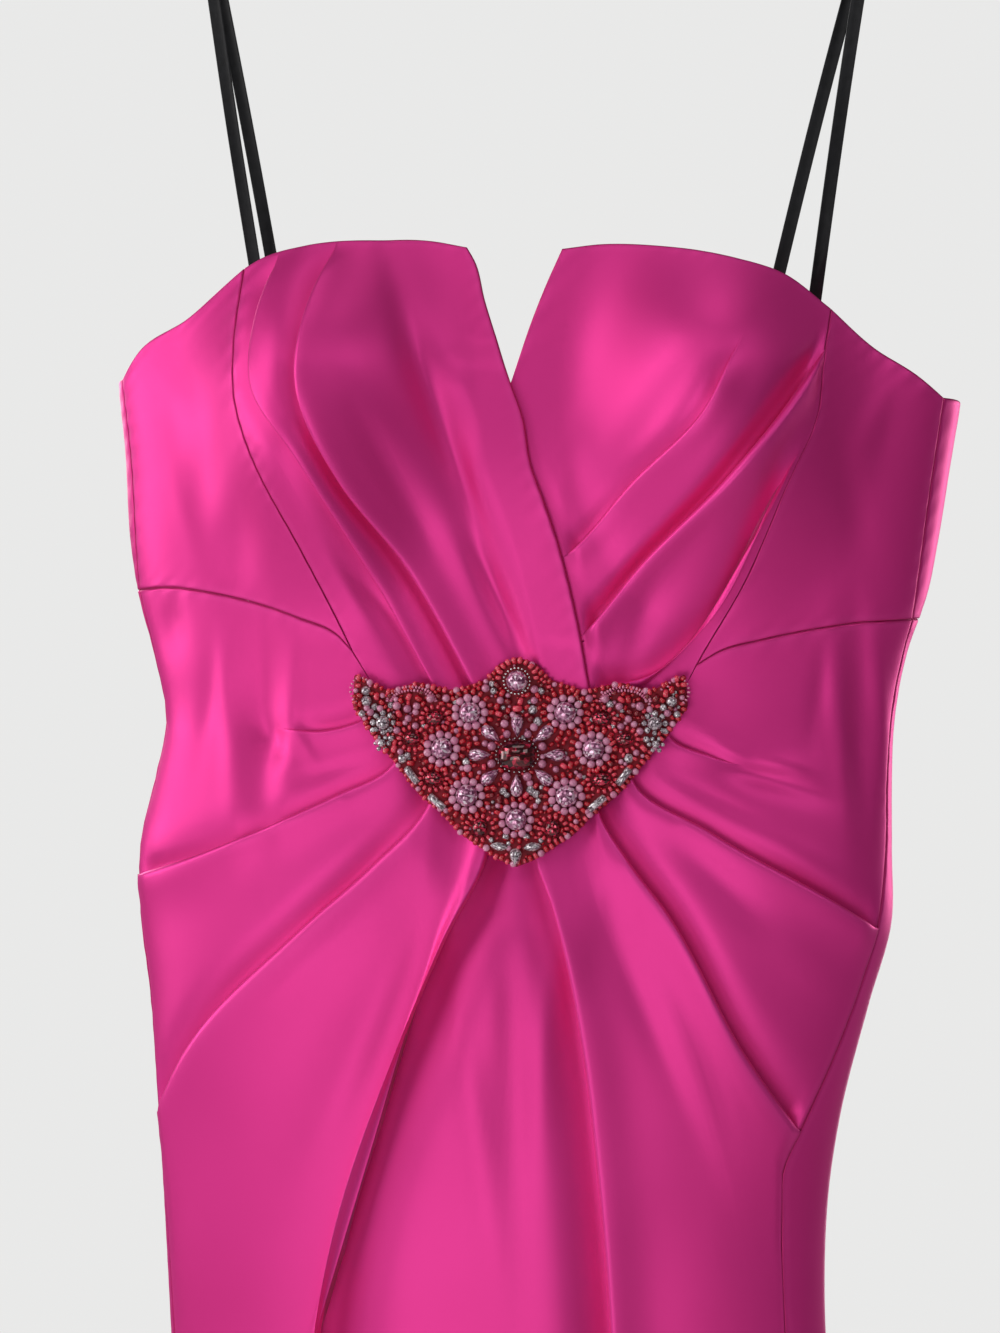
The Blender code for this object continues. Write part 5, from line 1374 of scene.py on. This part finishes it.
# %% Edge and filling
EDGE_STEP = 3.0
FILLERS = 15000
OVERLAP = 0.78
edge_count = int(edge_run[-1] / EDGE_STEP)
edge_at = (np.arange(edge_count) + 0.5) * edge_run[-1] / edge_count
edge_x, edge_y = along_edge(edge_at)
edge_way = np.arctan2(np.gradient(edge_y), np.gradient(edge_x))
edge_size = draws.uniform(1.25, 1.9, edge_count)
edge_in = draws.uniform(0.965, 0.99, edge_count)
edge_up = np.full(edge_count, -0.6)
edge_rows = np.stack([edge_x * edge_in, edge_y * edge_in, edge_size, edge_up, edge_way], -1)
for k, sort in enumerate(("coral", "red", "petal", "coral", "red")):
    bead_rows[sort].append(edge_rows[k::5])


def inside_edge(x, y):
    """Whether points lie inside the outline: a ray to the right crosses it an odd number of times."""
    a, b = motif_edge, np.roll(motif_edge, -1, 0)
    x, y = x[:, None], y[:, None]
    crosses = (a[:, 1] > y) != (b[:, 1] > y)
    rise = np.where(b[:, 1] == a[:, 1], 1e-9, b[:, 1] - a[:, 1])
    at = a[:, 0] + (y - a[:, 1]) * (b[:, 0] - a[:, 0]) / rise
    return (crosses & (x < at)).sum(1) % 2 == 1


taken = [np.array([(r, d, max(a, b) * 0.94) for rows in sorts.values() for r, d, _, a, b, *_ in rows])]
taken += [rows[:, :3] for group in bead_rows.values() for rows in group]
taken = np.concatenate(taken)
throw_x, throw_y = draws.uniform(-82, 82, FILLERS), draws.uniform(-48, 53, FILLERS)
throw_size = draws.choice([2.1, 1.75, 1.4, 1.1, 0.8], FILLERS, p=[0.12, 0.2, 0.23, 0.25, 0.2])
throw_size = np.sort(throw_size)[::-1]
keep = inside_edge(throw_x, throw_y)
kept = []
for x, y, size in zip(throw_x[keep], throw_y[keep], throw_size[keep]):
    if (np.hypot(taken[:, 0] - x, taken[:, 1] - y) > OVERLAP * (taken[:, 2] + size)).all():
        kept.append((x, y, size))
        taken = np.append(taken, [(x, y, size)], 0)
kept = np.array(kept)
shuffle = draws.permutation(len(kept))
angles = draws.uniform(0, math.pi, len(kept))
ups = draws.uniform(-0.3, 0.5, len(kept))
fill = np.column_stack([kept, ups, angles])[shuffle]
cuts = (len(fill) * np.array([0.40, 0.52, 0.72, 0.82, 0.89])).astype(int)
for sort, part in zip(("red", "deep", "coral", "petal", "pearl", "crystal"), np.split(fill, cuts)):
    bead_rows[sort].append(part)
print("beads that fill the ground", len(kept))

# %% [markdown]
# Each sort becomes one piece. Seed beads are short barrels with a hole, pearls and silver are balls.

# %% Beads
SORTS = {
    # name: finish, slot, shape
    "red": (RED_BEAD, "red_glass", BEAD), "deep": (DEEP_BEAD, "red_glass", BEAD),
    "coral": (CORAL_BEAD, "red_glass", BEAD), "pink": (PINK_BEAD, "pink_glass", BEAD),
    "petal": (PETAL_BEAD, "pink_glass", BALL),
    "pearl": (PEARL, "pink_glass", BALL), "silver": (SILVER, "clear_glass", BALL),
}
for sort, (finish, slot, shape) in SORTS.items():
    rows = np.concatenate(bead_rows[sort])
    size = rows[:, 2]
    seats, axes = on_motif(rows[:, 0], rows[:, 1], MOTIF_FACE + 0.7 * size + rows[:, 3])
    axes = turn_flat(axes, rows[:, 4])
    points, faces = repeat(shape, seats, axes, np.repeat(size[:, None], 3, 1))
    make_piece(f"{sort}_beads", in_metres(points), faces, (finish,))
rows = np.concatenate(bead_rows["crystal"])
size = rows[:, 2]
seats, axes = on_motif(rows[:, 0], rows[:, 1], MOTIF_FACE + rows[:, 3] * 0.4)
points, faces = repeat(stone_shape("round", 8), seats, turn_flat(axes, rows[:, 4]),
                       np.stack([size * 1.15, size * 1.15, size * 1.6], -1))
# Each facet of the small crystals gets a painted reflection too
make_piece("small_crystals", in_metres(points), faces, (CLEAR_STONE,), round_it=False,
           marks={"glint": draws.beta(0.7, 1.0, sum(len(f) for f in faces))})

# %% [markdown]
# The tapes that the dress hangs by are woven black satin ribbon. Each one goes up from inside the back,
# over the hanger's notch and down again, along the same route as its CAD solid. They are left bare.

# %% Hanging tapes
TAPE_WIDTH, TAPE_THICK, TAPE_CLEAR, TAPE_FOOT = 6.5, 1.0, 0.6, 100.0
NOTCH_X, NOTCH_BELOW, ARM_TALL, ARM_THICK, ARM_CORNER = 168.0, -172.0, 11.0, 9.0, 0.75
BODICE_WALL, FOOT_CLEAR = 2.2, 0.25
TAPE_SECTION = np.array([
    # Its woven edges are a little thicker than its middle
    (-TAPE_WIDTH / 2, 0), (-3.15, 0.36), (-2.7, 0.42), (-2.4, 0.3), (2.4, 0.3), (2.7, 0.42), (3.15, 0.36),
    (TAPE_WIDTH / 2, 0), (3.15, -0.36), (2.7, -0.42), (2.4, -0.3), (-2.4, -0.3), (-2.7, -0.42),
    (-3.15, -0.36),
])
RIBBON, ribbon_tree, ribbon_shader = new_finish(
    "black_ribbon", (0.004, 0.004, 0.005), 0.36,
    {"Anisotropic": 0.4, "Sheen Weight": 0.03, "Specular IOR Level": 0.35})
cloth_place = (add_node(ribbon_tree, "ShaderNodeUVMap", uv_map="cloth"), "UV")
mottle(ribbon_tree, ribbon_shader, (0.003, 0.003, 0.004), (0.008, 0.008, 0.010), 220, cloth_place)
ribs = add_node(ribbon_tree, "ShaderNodeTexWave", {"Scale": WAVE_TURN / 0.0007}, bands_direction="Y")
join(ribbon_tree, cloth_place, (ribs, "Vector"))
bump(ribbon_tree, ribbon_shader, (ribs, "Fac"), 0.4, 0.00005)


def tape(name, node, side, lower_front, lower_behind):
    """A ribbon along a route: its thin section is carried from end to end."""
    tall = ARM_TALL / 2 + TAPE_CLEAR + TAPE_THICK / 2
    half = ARM_THICK / 2 + TAPE_CLEAR + TAPE_THICK / 2
    ends = []
    for x in (lower_front, lower_behind):
        left, right, _, back = form(TAPE_FOOT)
        reach = left if x < 0 else right
        depth = -float(back * (1 - (abs(x) / reach) ** ROUNDNESS) ** (1 / ROUNDNESS))
        ends.append(depth + BODICE_WALL + SEAM + TAPE_THICK / 2 + FOOT_CLEAR)
    top_x = side * NOTCH_X
    routes = []
    for x, depth, lift, way in ((lower_front, ends[0], 2.5, 1), (lower_behind, ends[1], 2.0, -1)):
        points = [(x, TAPE_FOOT, depth), (x + 0.14 * (top_x - x), 60, depth + lift),
                  (x + 0.62 * (top_x - x), -70, way * (half + 1)), (top_x, NOTCH_BELOW + 8, way * half)]
        routes.append(line(points, np.linspace(0, 1, 60)))
    turn = np.linspace(0, math.pi, 32)
    across = np.sign(np.cos(turn)) * np.abs(np.cos(turn)) ** ARM_CORNER
    over_below = NOTCH_BELOW - tall * np.sin(turn) ** ARM_CORNER
    over = np.stack([np.full(32, top_x), over_below, half * across], -1)
    route = np.concatenate([routes[0], over, routes[1][::-1]])
    route = route[np.insert(np.linalg.norm(np.diff(route, axis=0), axis=1) > 1e-6, 0, True)]
    way = unit(np.gradient(route, axis=0))
    wide = unit(np.array([1.0, 0, 0]) - way * way[:, :1])
    out = np.cross(way, wide)
    points = route[:, None] + wide[:, None] * TAPE_SECTION[:, :1] + out[:, None] * TAPE_SECTION[:, 1:]
    run = length_along(route)
    uv = np.stack(np.broadcast_arrays(TAPE_SECTION[:, 0], run[:, None]), -1).reshape(-1, 2) * MM
    faces = tube_faces(len(route), len(TAPE_SECTION))
    make_piece(name, in_metres(points.reshape(-1, 3)), faces, (RIBBON,), replaces=(node,), uv=uv)
    print(name, "length", round(run[-1]), "mm")


tape("tape_left", "hanging_loop_left", -1, -131, -119)
tape("tape_right", "hanging_loop_right", 1, 130, 102)

# %% [markdown]
# The hanger is turned beech: rounded sections along its arms, as wide and as tall as the table says. Its
# hook is a bent steel wire with a ferrule at its foot, carried along the same line as the CAD hook.

# %% Hanger
NECK_TOP = -255.0
HOOK_INSIDE, WIRE, WIRE_SIDES = 18.5, 3.5, 16
FERRULE = [(1.9, 0.2), (3.4, 0.2), (3.6, 0.6), (3.6, 3.6), (3.2, 4.4), (1.9, 4.8)]
ARM_LINE = np.array([
    # x, below, tall, thick
    (0, NECK_TOP + 15, 30, 10), (14, -238, 26, 10), (34, -231, 17, 9), (70, -215, 13, 9),
    (110, -197, 12, 9), (150, -181, 12, 9), (158, -178, 13, 9), (163.5, NOTCH_BELOW, 11, 9),
    (172.5, NOTCH_BELOW, 11, 9), (178, -172, 15, 9), (190, -166, 15, 9), (203, -161, 13, 8),
    (211, -158, 7, 5),
], float)
WOOD, wood_tree, wood_shader = new_finish("beech", (0.50, 0.31, 0.16), 0.42,
                                          {"Coat Weight": 0.35, "Coat Roughness": 0.2})
grain_place = add_node(wood_tree, "ShaderNodeMapping", {"Scale": (3.0, 60.0, 60.0)})
join(wood_tree, (add_node(wood_tree, "ShaderNodeTexCoord"), "Object"), (grain_place, "Vector"))
grain, _ = mottle(wood_tree, wood_shader, (0.52, 0.33, 0.17), (0.42, 0.25, 0.12), 3.0,
                  (grain_place, "Vector"))
bump(wood_tree, wood_shader, (grain, "Fac"), 0.06, 0.0001)
STEEL = spotted_finish("bright_steel", (0.62, 0.62, 0.63), (0.55, 0.55, 0.56), 60, 0.16, {"Metallic": 1.0})


def arms():
    """Superellipse sections along x, with stations every few millimetres between those of the table."""
    stations = np.concatenate([ARM_LINE[:0:-1] * (-1, 1, 1, 1), ARM_LINE])
    arm_end = ARM_LINE[-1, 0]
    x = np.unique(np.concatenate([stations[:, 0], np.linspace(-arm_end, arm_end, 141)]))
    below, tall, thick = (np.interp(x, stations[:, 0], stations[:, k])[:, None] for k in (1, 2, 3))
    sides = 28
    turn = (np.arange(sides) + 0.5) * 2 * math.pi / sides
    across = np.sign(np.cos(turn)) * np.abs(np.cos(turn)) ** ARM_CORNER
    up = np.sign(np.sin(turn)) * np.abs(np.sin(turn)) ** ARM_CORNER
    points = np.stack([x[:, None] + 0 * turn, below - up * tall / 2, across * thick / 2], -1)
    make_piece("beech_arms", in_metres(points.reshape(-1, 3)), tube_faces(len(x), sides), (WOOD,),
               replaces=("hanger_arms",))


def hook():
    """A round section along a line in the x and height plane; it draws in to a round nose at its end."""
    half = WIRE / 2
    bend = HOOK_INSIDE + half
    foot = -(CUP_TOPS + NECK_TOP) + SEAM
    turns = np.radians(np.arange(-38, 197, 26))
    route = np.stack([bend * np.cos(turns), bend * np.sin(turns) - HOOK_INSIDE], -1)
    route = np.concatenate([[(0, foot), (0, foot + 8), (3.5, -50)], route])
    path = line(route, np.linspace(0, 1, 150))
    run = length_along(path)
    left_over = run[-1] - run
    radius = half * np.sqrt(np.clip(1 - np.clip(1 - left_over / half, 0, 0.98) ** 2, 0.04, 1))
    way = unit(np.gradient(path, axis=0))
    across = np.stack([way[:, 1], -way[:, 0]], -1)
    turn = np.arange(WIRE_SIDES) * 2 * math.pi / WIRE_SIDES
    flat = path[:, None] + across[:, None] * (radius[:, None] * np.cos(turn))[..., None]
    points = np.stack([flat[..., 0], radius[:, None] * np.sin(turn), flat[..., 1]], -1).reshape(-1, 3)
    ferrule, ferrule_faces = ring_shape(FERRULE, 28)
    parts = [(points, tube_faces(len(path), WIRE_SIDES)), (ferrule + (0, 0, foot - 0.2), ferrule_faces)]
    points, faces = gather([(p * MM, faces_out(p, f)) for p, f in parts])
    make_piece("steel_hook", points, faces, (STEEL,), replaces=("hanger_hook",))


arms()
hook()

# %% [markdown]
# The zip lies in the gap between the back panels: a pink tape, coiled teeth that meet in the middle, a
# metal slider and its pull. The pull hangs on the slider's pin and is the one piece that moves.

# %% Zip
SLIDER_AT, PIN_OUT, PULL_LENGTH, TOOTH_STEP = 98.0, 2.7, 22.0, 1.5
ZIP_THICK, PULL_HALF, PULL_END, EYE = 1.3, 1.6, 1.9, 0.95
ZIP_TAPE, zip_tree, zip_shader = new_finish("zip_tape", (0.80, 0.04, 0.28), 0.6, {"Sheen Weight": 0.05})
mottle(zip_tree, zip_shader, (0.82, 0.04, 0.29), (0.68, 0.03, 0.23), 400)
tape_ribs = add_node(zip_tree, "ShaderNodeTexWave", {"Scale": WAVE_TURN / 0.0008}, bands_direction="Z")
join(zip_tree, (add_node(zip_tree, "ShaderNodeTexCoord"), "Object"), (tape_ribs, "Vector"))
bump(zip_tree, zip_shader, (tape_ribs, "Fac"), 0.4, 0.0001)
TEETH = spotted_finish("zip_teeth", (0.86, 0.06, 0.34), (0.74, 0.04, 0.27), 500, 0.35, {"Coat Weight": 0.3})
NICKEL = spotted_finish("nickel", (0.66, 0.64, 0.61), (0.58, 0.56, 0.53), 150, 0.24, {"Metallic": 1.0})
zip_rows = np.linspace(ZIP_TOP, ZIP_END + 2 + ZIP_CLOSE, 90)
zip_columns = np.array([-ZIP_HALF, -2.2, -1.2, 0.0, 1.2, 2.2, ZIP_HALF])
zip_x, zip_below = np.meshgrid(zip_columns, zip_rows)
zip_x = zip_x * np.clip(zip_open(zip_below), 0.03, 1)
zip_depth = -form(zip_below)[3]
zip_face = np.stack([zip_x, zip_below, zip_depth + 0.1], -1)
zip_wall = in_metres(np.stack([zip_face, zip_face + (0, 0, ZIP_THICK)]).reshape(-1, 3))
zip_faces = [np.concatenate(shell_faces(*zip_x.shape))]
make_piece("zip_ribbon", zip_wall, zip_faces, (ZIP_TAPE,), replaces=("zip_chain",))

tooth_below = np.arange(SLIDER_AT + 7, ZIP_END - 1, TOOTH_STEP)
tooth_side = np.tile([1.0, -1.0], len(tooth_below))
tooth_below = np.repeat(tooth_below, 2) + np.tile([0, TOOTH_STEP / 2], len(tooth_below))
tooth_seat = np.stack([0.55 * tooth_side, tooth_below, -form(tooth_below)[3] - 0.15], -1)
tooth_axes = np.broadcast_to(np.eye(3), (len(tooth_seat), 3, 3))
points, faces = repeat(ball_shape(8, 3), tooth_seat, tooth_axes,
                       np.tile([1.25, 0.5, 0.55], (len(tooth_seat), 1)))
make_piece("coiled_teeth", in_metres(points), faces, (TEETH,))


def slab(outline_points, middle, thick, bevel=0.35):
    """A plate across depth with bevelled rims: four rings of its outline, drawn in at both faces."""
    rings = [(1 - bevel / 3, -thick / 2), (1.0, -thick / 2 + bevel), (1.0, thick / 2 - bevel),
             (1 - bevel / 3, thick / 2)]
    sides = len(outline_points)
    points = [np.column_stack([outline_points * share, np.full(sides, level)]) for share, level in rings]
    points = np.concatenate([*points, [(0, 0, -thick / 2), (0, 0, thick / 2)]]) + middle
    k = np.arange(sides)
    after, top = (k + 1) % sides, 3 * sides
    near_cap = np.stack([after, k, 0 * k + 4 * sides], -1)
    far_cap = np.stack([top + k, top + after, 0 * k + 4 * sides + 1], -1)
    return points, [grid_faces(4, sides, closed=True), np.concatenate([near_cap, far_cap])]


def rounded(half_wide, half_tall, power=3.5, sides=28, narrow=0.0):
    """A superellipse outline that may narrow downwards."""
    turn = np.arange(sides) * 2 * math.pi / sides
    x = np.sign(np.cos(turn)) * np.abs(np.cos(turn)) ** (2 / power)
    y = np.sign(np.sin(turn)) * np.abs(np.sin(turn)) ** (2 / power)
    return np.stack([x * half_wide * (1 - narrow * (y + 1) / 2), y * half_tall], -1)


def turned_slab(outline_points, place, thick, bevel):
    """A plate that faces sideways instead."""
    points, faces = slab(outline_points, (0, 0, 0), thick, bevel)
    return points[:, [2, 0, 1]] + place, faces


face_depth = min(-float(form(SLIDER_AT - 5)[3]), -float(form(SLIDER_AT + 5)[3])) - SEAM
pin_below, pin_depth = SLIDER_AT - 3, face_depth - 2.0 - PIN_OUT
parts = [slab(rounded(3.5, 5.5, narrow=0.28), (0, SLIDER_AT, face_depth - 1.0), 2.0)]
ear = rounded(1.8, 2.1, sides=16)
for side in (-1, 1):
    parts.append(turned_slab(ear, (side * 2.7, pin_below, face_depth - 1.9 - 2.1), 1.4, 0.3))
parts.append(turned_slab(rounded(0.65, 0.65, 2.0, 16), (0, pin_below, pin_depth), 5.0, 0.1))
points, faces = gather([(p, faces_out(in_metres(p), f)) for p, f in parts])
make_piece("nickel_slider", in_metres(points), faces, (NICKEL,), replaces=("zip_slider",))


def pull_tab():
    """A tab with a round eye: rings run from the eye out to the outline and back on the other face."""
    sides = 40
    turn = np.arange(sides) * 2 * math.pi / sides
    x, y = PULL_HALF * np.cos(turn), np.sin(turn)
    y = np.where(y > 0, y * (PULL_LENGTH - PULL_END), y * PULL_END)
    edge = np.stack([np.sign(x) * np.abs(x / PULL_HALF) ** 0.45 * PULL_HALF, y], -1)
    edge[:, 0] *= 0.82 + 0.18 * smooth(np.clip(edge[:, 1], 0, None) / 20)
    eye = np.stack([EYE * np.cos(turn), EYE * np.sin(turn)], -1)
    rings = [(eye, -1.1), (0.5 * eye + 0.5 * edge, -1.25), (0.95 * edge, -1.2), (edge, -0.7), (edge, 0.7),
             (0.95 * edge, 1.2), (0.5 * eye + 0.5 * edge, 1.25), (eye, 1.1)]
    points = np.stack([np.column_stack([flat, np.full(sides, level)]) for flat, level in rings])
    points = (points + (0, pin_below, pin_depth)).reshape(-1, 3)
    make_piece("nickel_pull", in_metres(points), [ring_faces(len(rings), sides)], (NICKEL,),
               body="pull", replaces=("zip_pull",))


pull_tab()

# %% [markdown]
# Two rows of stitches hold the zip, and they run down beside its gap. A stitch is a short thread that dips
# in at both ends, so it is a stretched ball that lies half in the satin.

# %% Stitches
THREAD = spotted_finish("pink_thread", (0.62, 0.05, 0.22), (0.52, 0.04, 0.18), 700, 0.5,
                        {"Sheen Weight": 0.2})
STITCH_STEP, STITCH_OUT, BACK_REACH = 2.8, 7.0, 190.0
stitch_below = np.tile(np.arange(ZIP_TOP + 6, ZIP_END + 4, STITCH_STEP), 2)
stitch_x = np.where(np.arange(len(stitch_below)) < len(stitch_below) // 2, -STITCH_OUT, STITCH_OUT)
stitch_plain = -form(stitch_below)[3] * (1 - (STITCH_OUT / BACK_REACH) ** ROUNDNESS) ** (1 / ROUNDNESS)
stitch_seat = np.stack([stitch_x, stitch_below, stitch_plain - 0.12], -1)
points, faces = repeat(ball_shape(6, 3), stitch_seat, np.broadcast_to(np.eye(3), (len(stitch_seat), 3, 3)),
                       np.tile([0.22, 1.0, 0.22], (len(stitch_seat), 1)))
make_piece("zip_stitches", in_metres(points), faces, (THREAD,))
